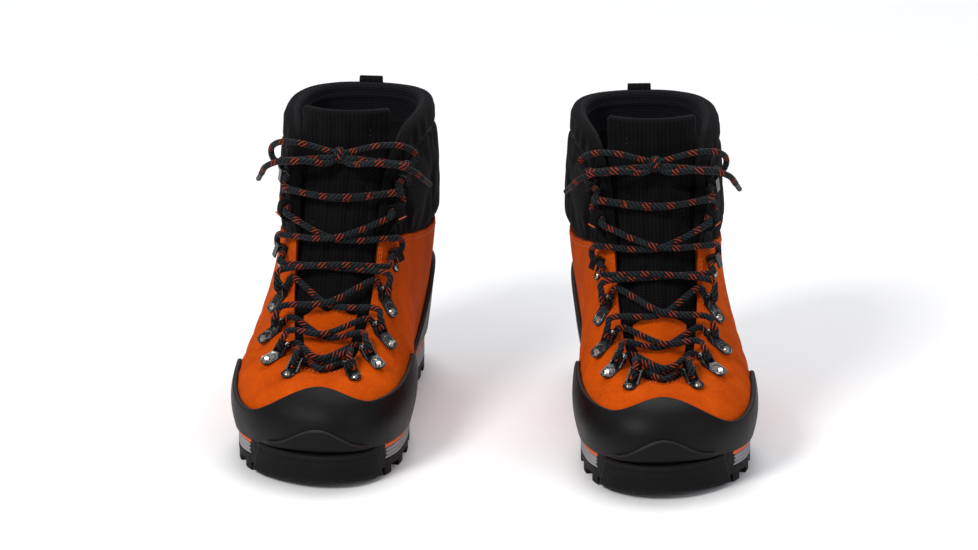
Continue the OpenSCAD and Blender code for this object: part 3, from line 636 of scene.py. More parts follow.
def wave(u, v, seed, size):
    """Smooth bumps over the last, repeatable, about size columns across."""
    rng = np.random.default_rng(seed)
    total = 0
    for _ in range(5):
        k, m, phase = rng.uniform(0.5, 1.2), rng.uniform(-1, 1), rng.uniform(0, 6.28)
        turns = k * np.round(COLUMNS / size) / COLUMNS * u + m * v / size
        total = total + np.sin(turns * 2 * np.pi + phase)
    return total / 5


def build_upper(boot):
    """The suede, with a groove under its first row of stitches, and the lining behind it."""
    half = np.concatenate([np.arange(0, 3.2, 0.07), np.arange(3.2, 4.2, 0.035), np.arange(4.2, 8, 0.08)])
    us = np.concatenate([half, [8], (COLUMNS - half[1:])[::-1]])
    vs, _, high = spread_rings(us, lambda u: np.full_like(u, 0.03), suede_edge, 70, 0, SUEDE_ROUND)
    grid = np.broadcast_to(us[:, None], vs.shape)
    height = -curled(high, SUEDE_ROUND)
    throat = from_toe(grid) < 3.3
    groove = np.exp(-((high - SUEDE_SEAMS[0]) / 0.7) ** 2) * 0.5 * ramp(from_toe(grid), 0.3, 1.0)
    height = height - np.where(throat, groove, groove * 0.7)
    # the leather bulges a little over the toes and the ankle bones, and creases where the foot bends
    height = height + 0.5 * wave(grid, vs, 3, 2.2) * ramp(high, 0, 12)
    bend = ramp(from_toe(grid), 1.9, 2.5) * (1 - ramp(from_toe(grid), 3.3, 4.1)) * ramp(vs, 0.6, 1.6)
    bend = bend * (1 - ramp(vs, 3.4, 4.2))
    crease = np.sin((from_toe(grid) * 3.1 + vs * 0.55) * 2 * np.pi / 1.15)
    height = height + bend * 0.35 * crease
    outer = skin(grid, vs, height)
    inner = skin(grid, vs, np.full_like(vs, -UPPER_T) + curled(high, 1.2) * 0.6)
    edge = ramp(high, 0, 1.3)
    piece = shell(boot, "suede_upper", outer, inner, [SUEDE, LINING], wrap=True, edge=edge)
    boot.on(piece, boot.foot, "suede_orange", "upper")


def build_lining(boot):
    """The sock of lining cloth inside the upper, from the footbed to the collar."""
    half = np.arange(0, 8, 0.1)
    us = np.concatenate([half, [8], (COLUMNS - half[1:])[::-1]])

    def lining_top(u):
        return suede_edge(u) + 0.06 - 1.0 * (1 - ramp(from_toe(u), 3.4, 3.9))
    vs, low, high = spread_rings(us, lambda u: np.full_like(u, 0.15), lining_top, 40, 0, 0)
    grid = np.broadcast_to(us[:, None], vs.shape)
    puckers = 0.35 * wave(grid, vs * 1.7, 21, 0.9)
    outer = skin(grid, vs, -5.2 + puckers)
    inner = skin(grid, vs, -6.0 + puckers - 0.9 * ramp(low, 5, 15) * ramp(high, 0, 8))
    lining = shell(boot, "sock_lining", outer, inner, [LINING], wrap=True)
    boot.on(lining, boot.foot, "footbed_grey")


def rand_top(u):
    w = np.mod(u + 8, COLUMNS) - 8
    return np.where(w >= 0, eased(RAND_INNER, w), eased(RAND_OUTER, -w))


def rubber_panel(boot, name, us, top, rows):
    """A rubber skin over the upper, with a rounded top edge and rounded ends."""
    vs, _, high = spread_rings(us, lambda u: np.full_like(u, 0.05), top, rows, 0, RAND_ROUND)
    grid = np.broadcast_to(us[:, None], vs.shape)
    points = last_point(grid, vs)
    along = np.cumsum(np.linalg.norm(np.diff(points[:, 0], axis=0, prepend=points[:1, 0]), axis=1))
    to_end = np.minimum(along, along[-1] - along)[:, None]
    ends = curled(np.broadcast_to(to_end, high.shape), 1.2)
    height = RAND_GAP + RAND_T - curled(high, RAND_ROUND) - ends
    outer = skin(grid, vs, height)
    inner = skin(grid, vs, np.full_like(vs, 0.1))
    # edge also sets where the rubber's material paints its lighter highlight along the rounded edges
    return shell(boot, name, outer, inner, [RAND], edge=ramp(np.minimum(high, to_end), 0, 1.5))


def build_rubber(boot):
    us = np.concatenate([[-3.1, -3.09], np.arange(-3.07, 3.17, 0.045), [3.19, 3.2]])
    rand = rubber_panel(boot, "rubber_rand", us, rand_top, 40)
    boot.on(rand, boot.foot, "rand_black", "rand")
    us = np.concatenate([[4.6, 4.61], np.arange(4.64, 11.36, 0.06), [11.39, 11.4]])
    cup = rubber_panel(boot, "rubber_heel_cup", us, lambda u: eased(CUP_TOP, from_toe(u)), 34)
    boot.on(cup, boot.foot, "rand_black", "heel_cup")


# heights of the sole's layers along the boot, as [y, z] pairs
OUTSOLE_LINE = [[-160, 14.5], [-130, 11.5], [-98, 9], [160, 9]]
MIDSOLE_LINE = [[-160, 20.2], [-130, 18.2], [-92, 16.2], [-40, 16.8], [10, 18], [50, 19], [160, 19]]
FEATHER_LINE = [[-160, 24.2], [-130, 22], [-95, 20], [-40, 20.8], [10, 23.6], [50, 26.2], [160, 26.6]]
GROUND_LINE = [[-160, 8], [-152, 6.5], [-136, 3], [-116, 0.6], [-100, 0], [160, 0]]


def height_at(line, y):
    return np.interp(y, *np.array(line, float).T)


def sole_wall(u, z, grow):
    """Points of the sole's side at column u and height z, grown outwards from the feather line."""
    base, way = last_point(u, 0.0), weave(u, 0.0, slopes, weights)
    flat = unit(way[..., :2])
    x, y = base[..., 0] + grow * flat[..., 1], base[..., 1] - grow * flat[..., 0]
    return np.stack([x, y, z + 0 * x], -1)


def build_sole_bands(boot):
    """The moulded grey midsole, with two grooves run round it, and the rounded orange frame above it."""
    us = np.arange(0, COLUMNS, 0.08)
    for name, low, high, node, slot, material in (
            ("grey_midsole", OUTSOLE_LINE, MIDSOLE_LINE, "midsole", "foam_grey", GREY_FOAM),
            ("orange_frame", MIDSOLE_LINE, FEATHER_LINE, "midsole_frame", "polymer_orange", ORANGE_FOAM)):
        y = last_point(us, 0.0)[:, 1]
        low_z, high_z = height_at(low, y)[:, None], height_at(high, y)[:, None]
        share = (1 - np.cos(np.linspace(0, np.pi, 33))) / 2
        z = low_z + (high_z - low_z) * share
        up, down = z - low_z, high_z - z
        if name == "grey_midsole":
            grow = 0.9 - curled(up, 0.8) - curled(down, 1.0)
            for part in (0.36, 0.68):
                at = (high_z - low_z) * part
                grow = grow - 0.6 * np.exp(-((up - at) / 0.5) ** 2)
        else:
            grow = 1.3 - 0.9 * (2 * share - 1) ** 2 - curled(up, 0.7) - curled(down, 0.7)
        columns = np.broadcast_to(us[:, None], z.shape)
        outer, inner = sole_wall(columns, z, grow), sole_wall(columns, z, np.full_like(z, -6.0))
        band = shell(boot, name, outer, inner, [material], wrap=True)
        boot.on(band, boot.foot, slot, node)


def build_toe_wall(boot):
    """The outsole's smooth front wall, which is wider at its foot and rounded along its rim."""
    share = (1 - np.cos(np.linspace(0, np.pi, 25))) / 2
    half = np.linspace(-1, 1, 81)
    grid_s, grid_h = np.meshgrid(share, half, indexing="ij")
    reach = 1.34 - 0.2 * grid_s
    us = grid_h * reach
    y = last_point(us, 0.0)[..., 1]
    low_z, high_z = height_at(GROUND_LINE, y) + 0.3, 22.4 + 0 * y
    z = low_z + (high_z - low_z) * grid_s
    to_end = (1 - np.abs(grid_h)) * 55
    push = 0.8 + 6.2 * np.exp(-(np.abs(us) / 1.05) ** 2)
    grow = push + 0.9 - curled(z - low_z, 2.2) - curled(high_z - z, 1.6) - curled(to_end, 2.2) * 0.8
    grow = grow - 0.5 * np.exp(-((high_z - z - 3.4) / 0.5) ** 2)
    outer = sole_wall(us, z, grow).transpose(1, 0, 2)
    inner = sole_wall(us, z, push - 2.5).transpose(1, 0, 2)
    wall = shell(boot, "toe_wall", outer, inner, [SOLE])
    boot.on(wall, boot.foot, "rubber_black")
    # black rubber that closes the crampon groove between the wall and the rand
    us = np.linspace(-1.5, 1.5, 91)
    y = last_point(us, 0.0)[:, 1]
    low_z = height_at(OUTSOLE_LINE, y)[:, None] + 1
    high_z = height_at(FEATHER_LINE, y)[:, None] + 1.8
    z = low_z + (high_z - low_z) * share
    columns = np.broadcast_to(us[:, None], z.shape)
    grow = 1.9 - curled(high_z - z, 1.2) - 1.2 * ramp(np.abs(columns), 1.3, 1.5)
    outer, inner = sole_wall(columns, z, grow), sole_wall(columns, z, np.full_like(z, -2.0))
    groove = shell(boot, "toe_groove", outer, inner, [SOLE])
    boot.on(groove, boot.foot, "rubber_black")


LIP_TOP = [[0, 1.04], [0.85, 0.3], [1.05, 0.16]]


def build_toe_lip(boot):
    """The raised mound of rubber that the outsole sends up over the rand, above the crampon groove."""
    us = np.linspace(-1.05, 1.05, 61)
    vs, low, high = spread_rings(
        us, lambda u: np.full_like(u, 0.09), lambda u: eased(LIP_TOP, np.abs(u)), 16, 0.9, 1.0)
    grid = np.broadcast_to(us[:, None], vs.shape)
    rise = 1.9 * (1 - ramp(np.abs(grid), 0.75, 1.05)) + 0.2
    height = 3.0 + rise - np.minimum(curled(high, 1.0), rise) - np.minimum(curled(low, 0.9), rise)
    rim = 0.5 * np.exp(-((high - 1.7) / 0.8) ** 2)
    outer = skin(grid, vs, height + rim)
    inner = skin(grid, vs, np.full_like(vs, 2.6))
    # edge also sets where the rubber's material paints its lighter highlight along the lip's rim
    lip = shell(boot, "toe_lip", outer, inner, [RAND], edge=ramp(high, 0, 1.5))
    boot.on(lip, boot.foot, "rand_black")


# ------------------------------------------------------------------ tubes, tapes and stitches
def even(path, step):
    """The same line with its points about step millimetres apart."""
    path = np.asarray(path, float)
    lengths = np.concatenate([[0], np.cumsum(np.linalg.norm(np.diff(path, axis=0), axis=1))])
    want = np.linspace(0, lengths[-1], max(3, int(round(lengths[-1] / step)) + 1))
    return np.stack([np.interp(want, lengths, path[:, k]) for k in range(3)], -1)


def curve(points, step=1.2):
    return even(through(points, np.linspace(0, len(points) - 1, 40 * len(points))), step)


def carried_frames(path):
    """Directions along a path, and a pair across it that turns as little as possible."""
    ahead = unit(np.gradient(path, axis=0))
    across = np.empty_like(path)
    start = np.array([0, 0, 1.0]) if abs(ahead[0, 2]) < 0.8 else np.array([0, 1.0, 0])
    side = unit(np.cross(start, ahead[0]))
    for i, way in enumerate(ahead):
        side = unit(side - (side @ way) * way)
        across[i] = side
    return ahead, across, np.cross(ahead, across)


def tube_parts(path, radii, sides, first=0, along_from=0.0):
    """Points, faces and per-corner flat coordinates of a closed tube."""
    count = len(path)
    _, across, up = carried_frames(path)
    angle = np.linspace(0, 2 * np.pi, sides, endpoint=False)
    ring = np.cos(angle)[None, :, None] * across[:, None] + np.sin(angle)[None, :, None] * up[:, None]
    points = path[:, None] + np.broadcast_to(radii, count)[:, None, None] * ring
    along = np.concatenate([[0], np.cumsum(np.linalg.norm(np.diff(path, axis=0), axis=1))])
    along = along * MM + along_from
    faces, flat = [], []
    for i in range(count - 1):
        for k in range(sides):
            a, b = i * sides + k, i * sides + (k + 1) % sides
            faces.append((first + a, first + b, first + b + sides, first + a + sides))
            low, high = k / sides, (k + 1) / sides
            flat.append([(low, along[i]), (high, along[i]), (high, along[i + 1]), (low, along[i + 1])])
    for row, order in ((0, -1), (count - 1, 1)):
        faces.append(tuple(first + row * sides + k for k in range(sides))[::order])
        flat.append([(k / sides, along[row]) for k in range(sides)][::order])
    return points.reshape(-1, 3), faces, flat


def tubes(boot, name, runs, material, sides=12):
    """One piece of several tubes; runs are (path, radius or radii, where its pattern starts in metres)."""
    points, faces, flat = [], [], []
    for path, radii, start in runs:
        p, f, c = tube_parts(path, radii, sides, sum(len(q) for q in points), start)
        points.append(p)
        faces += f
        flat += c
    return boot.add_mesh(name, np.concatenate(points), faces, [material], corners=flat)


# along a stitch: places, heights over the material in millimetres, and thickness
STITCH_AT = np.array([0.0, 0.12, 0.35, 0.65, 0.88, 1.0])
STITCH_RISE = np.array([-0.5, -0.1, 0.12, 0.12, -0.1, -0.5])
STITCH_FAT = np.array([0.35, 0.85, 1, 1, 0.85, 0.35])


def stitches(boot, name, lines, material, length=2.3, gap=1.0, radius=0.34):
    """Rows of sewn stitches: each is a short rounded thread that dips into the material at both ends.
    Lines are the points under each row and the directions out of the material there."""
    runs = []
    for points, normals in lines:
        lengths = np.concatenate([[0], np.cumsum(np.linalg.norm(np.diff(points, axis=0), axis=1))])
        count = int(lengths[-1] / (length + gap))
        for i in range(count):
            at = (i * (length + gap) + gap / 2) + STITCH_AT * length
            at = at * lengths[-1] / (count * (length + gap))
            here = np.stack([np.interp(at, lengths, points[:, k]) for k in range(3)], -1)
            out = unit(np.stack([np.interp(at, lengths, normals[:, k]) for k in range(3)], -1))
            thread = here + out * (STITCH_RISE + radius * 0.5)[:, None]
            runs.append((thread, radius * STITCH_FAT, 0.0))
    return tubes(boot, name, runs, material, 6)


def tape(boot, name, path, across, width, thick, material, rounded=0.5):
    """A flat tape along a path; across is its width direction at each point."""
    way = unit(np.gradient(path, axis=0))
    side = unit(across - (across * way).sum(-1, keepdims=True) * way)
    face = np.cross(way, side)
    w, t = width / 2, thick / 2
    section = [
        (-w + rounded, -t), (w - rounded, -t), (w, -t + rounded / 2), (w, t - rounded / 2),
        (w - rounded, t), (w * 0.4, t), (-w * 0.4, t), (-w + rounded, t),
        (-w, t - rounded / 2), (-w, -t + rounded / 2)]
    sides = len(section)
    points = np.stack([path + a * side + b * face for a, b in section], 1)
    along = np.concatenate([[0], np.cumsum(np.linalg.norm(np.diff(path, axis=0), axis=1))])
    last = (len(path) - 1) * sides
    faces = [(i + k, i + (k + 1) % sides, i + sides + (k + 1) % sides, i + sides + k)
             for i in range(0, last, sides) for k in range(sides)]
    faces += [tuple(range(sides))[::-1], tuple(range(last, last + sides))]
    flat = np.stack([np.broadcast_to([a for a, _ in section], (len(path), sides)),
                     np.broadcast_to(along[:, None], (len(path), sides))], -1) * MM
    return boot.add_mesh(name, points.reshape(-1, 3), faces, [material], flat=flat.reshape(-1, 2))


# ------------------------------------------------------------------ collar
COLLAR_ROUND = 4.0      # radius of the collar's top edge
COLLAR_CHANNEL = 17     # from the top edge down to the sewn channel
COLLAR_SEAM = 14.7      # and to the stitches over it
PUFF_CAP = 2.6          # millimetres that the padding may lift the collar's cover
PUFF_STEPS = 20
PUFFS = {}              # what the simulation gave, so that both boots are blown up once and alike


def blown_up(name, cover, sewn):
    """How far the padding lifts each point of a cover that is held where it is sewn: a coarser copy of it
    is blown up as cloth, with a little spare cloth that puckers along the seams."""
    if name in PUFFS:
        return PUFFS[name]
    rows = np.unique(np.append(np.arange(0, cover.shape[0], 3), cover.shape[0] - 1))
    columns = np.unique(np.append(np.arange(0, cover.shape[1], 2), cover.shape[1] - 1))
    start = cover[np.ix_(rows, columns)]
    mesh = bpy.data.meshes.new("cover_cloth")
    mesh.from_pydata((start.reshape(-1, 3) * MM).tolist(), [], grid_faces(len(rows), len(columns)))
    cloth_piece = bpy.data.objects.new("cover_cloth", mesh)
    bpy.context.scene.collection.objects.link(cloth_piece)
    held = np.flatnonzero(sewn[np.ix_(rows, columns)])
    cloth_piece.vertex_groups.new(name="sewn").add(held.tolist(), 1.0, "REPLACE")
    cloth = cloth_piece.modifiers.new("cloth", "CLOTH")
    cloth.settings.quality = 6
    cloth.settings.mass = 0.15
    cloth.settings.bending_stiffness = 0.05
    cloth.settings.shrink_min = -0.05
    cloth.settings.use_pressure = True
    cloth.settings.uniform_pressure_force = 4
    cloth.settings.vertex_group_mass = "sewn"
    cloth.settings.effector_weights.gravity = 0
    for step in range(1, PUFF_STEPS + 1):
        bpy.context.scene.frame_set(step)
    settled = cloth_piece.evaluated_get(bpy.context.evaluated_depsgraph_get()).data
    lift = np.array([v.co for v in settled.vertices]).reshape(start.shape) / MM - start
    size = np.linalg.norm(lift, axis=-1, keepdims=True)
    lift = lift * (PUFF_CAP * np.tanh(size / PUFF_CAP) / np.maximum(size, 1e-6))
    bpy.context.scene.frame_set(1)
    bpy.data.objects.remove(cloth_piece)
    # the coarse copy's movement, spread over the fine points and then smoothed
    along = np.stack([[np.interp(np.arange(cover.shape[0]), rows, lift[:, j, k]) for k in range(3)]
                      for j in range(len(columns))], 0)
    fine = np.stack([[np.interp(np.arange(cover.shape[1]), columns, along[:, k, i]) for k in range(3)]
                     for i in range(cover.shape[0])], 0).transpose(0, 2, 1)
    for axis in (0, 1):
        spare = [(1, 1) if axis == k else (0, 0) for k in range(3)]
        wide = np.pad(fine, spare, mode="edge")
        near = [np.take(wide, np.arange(fine.shape[axis]) + k, axis) for k in range(3)]
        fine = near[0] / 4 + near[1] / 2 + near[2] / 4
    PUFFS[name] = fine
    return fine


def build_collar(boot):
    half = np.concatenate([[3.3, 3.34], np.arange(3.4, 4.4, 0.03), np.arange(4.4, 8, 0.05)])
    us = np.concatenate([half, [8], (COLUMNS - half)[::-1]])
    vs, low, high = spread_rings(
        us, lambda u: suede_edge(u) - 0.03, lambda u: np.full_like(u, RINGS - 1.0), 64, 0, COLLAR_ROUND)
    grid = np.broadcast_to(us[:, None], vs.shape)
    f = from_toe(grid)
    puff = -1.7 + 2.5 * ramp(low, 1.5, 13)
    puff = puff - 0.5 * np.exp(-((low - 1.5) / 1.2) ** 2)
    # sewn channels: one under the top edge and one on each side that follows the ankle
    channel = np.exp(-((high - COLLAR_CHANNEL) / 1.3) ** 2) * 1.1
    side_seam = np.exp(-((f - 5.35 - 0.16 * (vs - 5)) / 0.045) ** 2) * 1.0 * ramp(high, 15, 20)
    back_seam = np.exp(-((f - 8) / 0.04) ** 2) * 0.5
    folds = 0.55 * wave(grid, vs, 8, 1.3) + 0.35 * wave(grid, vs * 2.3, 9, 0.8)
    folds = folds * ramp(low, 4, 14) * (1 - np.exp(-((high - COLLAR_CHANNEL) / 4) ** 2))
    top_round = curled(high, COLLAR_ROUND)
    height = puff - channel - side_seam - back_seam + folds - top_round
    height = np.maximum(height, -top_round - 2.6)
    depth = np.maximum(-eased([[4, 3], [5, 9], [8, 9]], f.ravel()).reshape(f.shape), -9)
    quilt = 1.1 * np.exp(-((np.mod(high, 16) - 8) / 1.4) ** 2) * ramp(low, 2, 10) * ramp(high, 2, 8)
    inner = skin(grid, vs, depth + np.minimum(top_round, -depth - 1.2) - quilt)
    outer = skin(grid, vs, height)
    between = (COLLAR_CHANNEL + COLLAR_SEAM) / 2 - 0.05
    held = (low < 3) | (high < 5) | (np.abs(high - between) < 2.6)
    held = held | (side_seam > 0.4) | (back_seam > 0.25)
    tall = np.flatnonzero((low + high)[:, 0] > 20)
    span = slice(tall[0], tall[-1] + 1)
    held[[tall[0], tall[-1]]] = True
    outer[span] += blown_up("collar", outer[span], held[span])
    collar = shell(boot, "padded_collar", outer, inner, [SOFTSHELL, LINING])
    boot.on(collar, "ankle", "softshell_black", "collar", "flex_panel")
    lines = []
    for start, end in ((3.9, 8.0), (8.0, 12.1)):
        u = np.linspace(start, end, 160)
        v = rings_below(u, COLLAR_SEAM, 4.0, lambda column: RINGS - 1.0, MEASURED)
        lines.append((skin(u, v, np.full_like(u, 0.1)), outward(u, v)))
    boot.on(stitches(boot, "collar_stitches", lines, BLACK_THREAD), "ankle", "softshell_black")


def build_heel_pull(boot):
    at = last_point(np.array(8.0), np.array(5.6))
    base = at + (0, 2.6, -22)
    path = curve([
        base, base + (0, -0.1, 12), at + (0, 2.2, 0), at + (0, 2.4, 12), at + (0, 1.6, 16.5),
        at + (0, -0.5, 17.2), at + (0, -2.6, 14.5)], 1.0)
    pull = tape(boot, "heel_pull", path, np.array([[1.0, 0, 0]]), 15, 1.5, WEBBING)
    boot.on(pull, boot.cuff, "webbing_black", "heel_pull")
    lines = []
    for z in (-19, -6):
        x = np.linspace(-6, 6, 20)
        points = np.stack([at[0] + x, np.full_like(x, base[1] + 0.55), np.full_like(x, at[2] + z)], -1)
        lines.append((points, np.broadcast_to([0, 1.0, 0], points.shape)))
    boot.on(stitches(boot, "heel_pull_stitches", lines, ORANGE_THREAD), boot.cuff, "webbing_black")


# ------------------------------------------------------------------ tongue
# y, z, half the width and how far the sides fall, at places along the tongue from toe to top
TONGUE_LINE = np.array([
    [-101, 53.4, 15, 5], [-84, 65.4, 20, 6.5], [-71, 76.5, 25, 8], [-57, 90.5, 27.5, 9.5],
    [-40.5, 112, 28.5, 12.5], [-30.5, 129.5, 29.5, 16.5], [-20.5, 148, 29, 18.5], [-9.5, 168.5, 29, 20],
    [-3.5, 186, 29.5, 21], [-1, 204, 29.5, 19]])


def tongue_point(t, a, h):
    """Points at place t along the tongue, a across it from -1 to 1, and h millimetres over it."""
    t, a, h = np.broadcast_arrays(*(np.asarray(x, float) for x in (t, a, h)))
    spot = through(TONGUE_LINE, t)
    y, z, width, fall = (spot[..., k] for k in range(4))
    way = through(TONGUE_LINE, t + 0.02) - through(TONGUE_LINE, t - 0.02)
    up = unit(way[..., :2])
    slope = 2 * fall * a / width
    k = np.sqrt(1 + slope * slope)
    out = h / k - fall * a * a
    return np.stack([a * width + h * slope / k, y - up[..., 1] * out, z + up[..., 0] * out], -1)


def tongue_out(t, a):
    """Direction out of the tongue."""
    return unit(tongue_point(t, a, 1.0) - tongue_point(t, a, 0.0))


RIBS = 5
TONGUE_END = 9.0        # its top end, counted along TONGUE_LINE


def rib_height(t, a):
    """Sewn channels that run up the tongue, and one that crosses it where it bends."""
    ribs = np.abs(np.cos(np.pi * RIBS * a / 2 * 0.98)) ** 0.55
    flex = 1.3 * np.exp(-((t - 4.55) / 0.13) ** 2)
    cross = 0.9 * np.exp(-((t - 6.7) / 0.07) ** 2)
    return -2.3 + 2.3 * ribs - flex - cross


def build_tongue(boot):
    t = np.concatenate([[0, 0.02], np.linspace(0.05, 8.85, 190), [8.9, 8.94, 8.97, 8.99, 9.0]])
    a = np.sin(np.linspace(-1, 1, 61) * np.pi / 2)
    a = np.sign(a) * np.abs(a) * 0.985 + np.linspace(-1, 1, 61) * 0.015
    grid_t, grid_a = np.meshgrid(t, a[::-1], indexing="ij")
    width = through(TONGUE_LINE, t)[:, 2][:, None]
    to_side = (1 - np.abs(grid_a)) * width
    to_end = (TONGUE_END - grid_t) * 18
    edge_fall = curled(to_side, 2.2) + np.minimum(curled(to_end, 3.0), 3)
    soften = ramp(grid_t, 0.0, 0.5)
    height = rib_height(grid_t, grid_a) * soften * ramp(to_end, 3, 12) * ramp(to_side, 0, 3)
    folds = 0.45 * np.sin(grid_t * 7.3 + 2.1 * grid_a) * np.sin(grid_t * 3.1 + 1.0)
    height = height + folds * ramp(grid_t, 4.2, 5.2) * ramp(to_end, 4, 14) - edge_fall
    back = np.where(grid_t > 4.6, -6.6, -4.8) + np.minimum(edge_fall, 2.2)
    outer, inner = tongue_point(grid_t, grid_a, height), tongue_point(grid_t, grid_a, back)
    flat = np.stack([grid_a * width, grid_t * 18.5], -1) * MM
    tongue = shell(boot, "ribbed_tongue", outer, inner, [TONGUE_CLOTH, LINING], flat=flat)
    boot.on(tongue, "ankle", "softshell_black", "tongue", "tongue_top")
    lines = []
    for k in range(-2, 3):
        a_line = (k + (0.5 if k >= 0 else -0.5)) * 2 / RIBS / 0.98 if k else None
        if a_line is None or abs(a_line) > 0.93:
            continue
        for start, end in ((3.1, 6.6), (6.8, 8.7)):
            s = np.linspace(start, end, 160)
            points = tongue_point(s, a_line, rib_height(s, np.full_like(s, a_line)) + 0.1)
            lines.append((points, tongue_out(s, a_line)))
    seams = stitches(boot, "tongue_stitches", lines, BLACK_THREAD, 2.0, 1.2, 0.3)
    boot.on(seams, "ankle", "softshell_black")


PATCH_HALF = 0.62       # half its width, as a share of the tongue's
PATCH_LOW = 0.95        # its lower end, counted along TONGUE_LINE
PATCH_SEAM = 2.4        # from its edge to its stitches
PATCH_STEP = 17.5       # millimetres along the tongue for each count of TONGUE_LINE


def patch_top(boot, a):
    """Upper edge of the suede patch, as a place along the tongue: wavy on one boot, domed on the other."""
    x = a / PATCH_HALF
    if boot.side == "right":
        return 2.93 - 0.12 * np.abs(x) ** 4 - 0.07 * np.cos(2.5 * np.pi * x + 0.7)
    return 2.98 - 0.2 * np.abs(x) ** 3


def build_patch(boot):
    share = np.concatenate([[0, 0.01, 0.03], np.linspace(0.06, 0.94, 60), [0.97, 0.99, 1]])
    a = PATCH_HALF * np.sin(np.linspace(-1, 1, 45) * np.pi / 2)[::-1]
    grid_s, grid_a = np.meshgrid(share, a, indexing="ij")
    top = patch_top(boot, grid_a)
    grid_t = PATCH_LOW + (top - PATCH_LOW) * grid_s
    width = through(TONGUE_LINE, grid_t)[..., 2]
    to_side = (PATCH_HALF - np.abs(grid_a)) * width
    to_end = np.minimum(top - grid_t, grid_t - PATCH_LOW) * PATCH_STEP
    near = np.minimum(to_side, to_end)
    groove = 0.45 * np.exp(-((near - PATCH_SEAM) / 0.5) ** 2)
    height = 1.9 - curled(near, 1.1) - groove + 0.25 * np.sin(5 * grid_a) * np.sin(3 * grid_t)
    outer = tongue_point(grid_t, grid_a, height)
    inner = tongue_point(grid_t, grid_a, np.full_like(height, -0.6))
    patch = shell(boot, "tongue_patch", outer, inner, [SUEDE], edge=ramp(near, 0, 1.2))
    boot.on(patch, boot.foot, "suede_orange", "tongue_patch")
    side = PATCH_HALF - PATCH_SEAM / 24
    s = np.linspace(PATCH_LOW + 0.14, patch_top(boot, side) - 0.12, 120)
    x = np.linspace(-side, side, 120)
    rows = [(s, -side), (s, side), (patch_top(boot, x) - PATCH_SEAM / PATCH_STEP, x)]
    lines = [(tongue_point(t, a, 1.45), tongue_out(t, a)) for t, a in rows]
    boot.on(stitches(boot, "patch_stitches", lines, ORANGE_THREAD), boot.foot, "suede_orange")


def build_gusset(boot):
    """Folded cloth between the tongue and the throat edge of the upper, which keeps stones and snow out."""
    for way, name in ((1, "inner"), (-1, "outer")):
        s = np.linspace(0, 1, 60)
        u = 0.25 + 2.95 * s
        u = u if way > 0 else COLUMNS - u
        edge = skin(u, 5.75 - 0.2 * s, np.full_like(u, -UPPER_T - 0.5))
        t = 0.35 + 3.6 * s
        across = np.linspace(0, 1, 14)
        lip = tongue_point(t, way * 0.9, -3.6)
        fold = -2.2 * np.sin(np.pi * across)
        sheet = edge[:, None] * (1 - across)[None, :, None] + lip[:, None] * across[None, :, None]
        drop = tongue_out(t, way * 0.9)
        sheet = sheet + drop[:, None] * fold[None, :, None]
        under = sheet - drop[:, None] * 1.0
        if way < 0:
            sheet, under = sheet[:, ::-1], under[:, ::-1]
        piece = shell(boot, f"{name}_gusset", sheet[:, ::-1], under[:, ::-1], [SOFTSHELL])
        boot.on(piece, boot.foot, "softshell_black")


# ------------------------------------------------------------------ lacing
# column and ring of each row's hardware on the inner side, from the toe up
ROWS = [[0.95, 4.05], [1.74, 4.22], [2.35, 4.3], [2.9, 4.85], [3.5, 4.95], [3.76, 5.45], [4.2, 5.6]]
BAR_X, BAR_Z = -3.0, 6.3        # axis of a roller in its row's frame
LACE_R = 2.0
ROLLER_R = 1.5
PLATE_TOP = 1.5
LOOP_Z = 4.6                    # height of the lace in a webbing loop
BAR_REACH = ROLLER_R + LACE_R + 0.65    # from a roller's axis to the middle of the lace


def row_frame(side, row):
    """Frame of one row's hardware: X down the boot's side, Z out of it. side is 1 on the inner side."""
    u, v = ROWS[row - 1]
    u = u if side > 0 else COLUMNS - u
    out = outward(u, v)
    down = -weave(u, v, weights, slopes)
    x = unit(down - (down @ out) * out)
    return x, np.cross(out, x), out, last_point(u, v)


def in_row(side, row, points):
    x, y, z, at = row_frame(side, row)
    p = np.asarray(points, float)
    return at + p[..., :1] * x + p[..., 1:2] * y + p[..., 2:] * z


IN_HOOK = PLATE_TOP + 2.35      # height of the lace in a locking hook
HOOK_TURN = [
    [6, -16, 4.9], [3.4, -9, 4.2], [2.5, -4.4, IN_HOOK], [2.5, -1.5, IN_HOOK], [2.5, 1.5, IN_HOOK],
    [2.5, 4.4, IN_HOOK], [0.6, 7.6, 4.6], [-3.6, 7.4, 5.9], [-7.2, 2.6, 6.3], [-9, -4.5, 5.2]]
LOOP_TURN = [
    [1, -11, LOOP_Z], [-2, -5.2, LOOP_Z], [-2, 5.2, LOOP_Z], [-4.8, 9.6, 5], [-9.5, 8, 5.8],
    [-12.5, 1.5, 5.6], [-13.6, -5, 4.2]]


def round_row(side, row):
    """Points of the lace round one row's roller, hook or loop, from under it to over it."""
    under, past, above = BAR_Z - BAR_REACH, BAR_X + BAR_REACH, BAR_Z + BAR_REACH
    if row <= 4:
        return list(in_row(side, row, [
            [BAR_X - 8, -2.8 * side, under + 0.6], [BAR_X, -0.8 * side, under], [past, 0, BAR_Z],
            [BAR_X, 0.8 * side, above], [BAR_X - 8, 2.8 * side, above - 0.2]]))
    turn = LOOP_TURN if row == 6 else HOOK_TURN
    return list(in_row(side, row, [[x, y * side, z] for x, y, z in turn]))


CROSSINGS = [0.6, 1.7, 2.95, 3.95, 4.85, 6.1]     # where the laces cross, along the tongue
OVER = 2.5                      # height of a lace's middle that lies on the tongue
KNOT_R = 5.5
KNOT = tongue_point(7.4, 0, KNOT_R + 0.8)
BY_KNOT = (KNOT_R + 2.6, 1, -2)


def from_knot(way, points):
    """Points given from the knot's middle, on the inner side for way 1 and the outer side for way -1."""
    return KNOT + np.array(points, float) * (way, 1, 1)


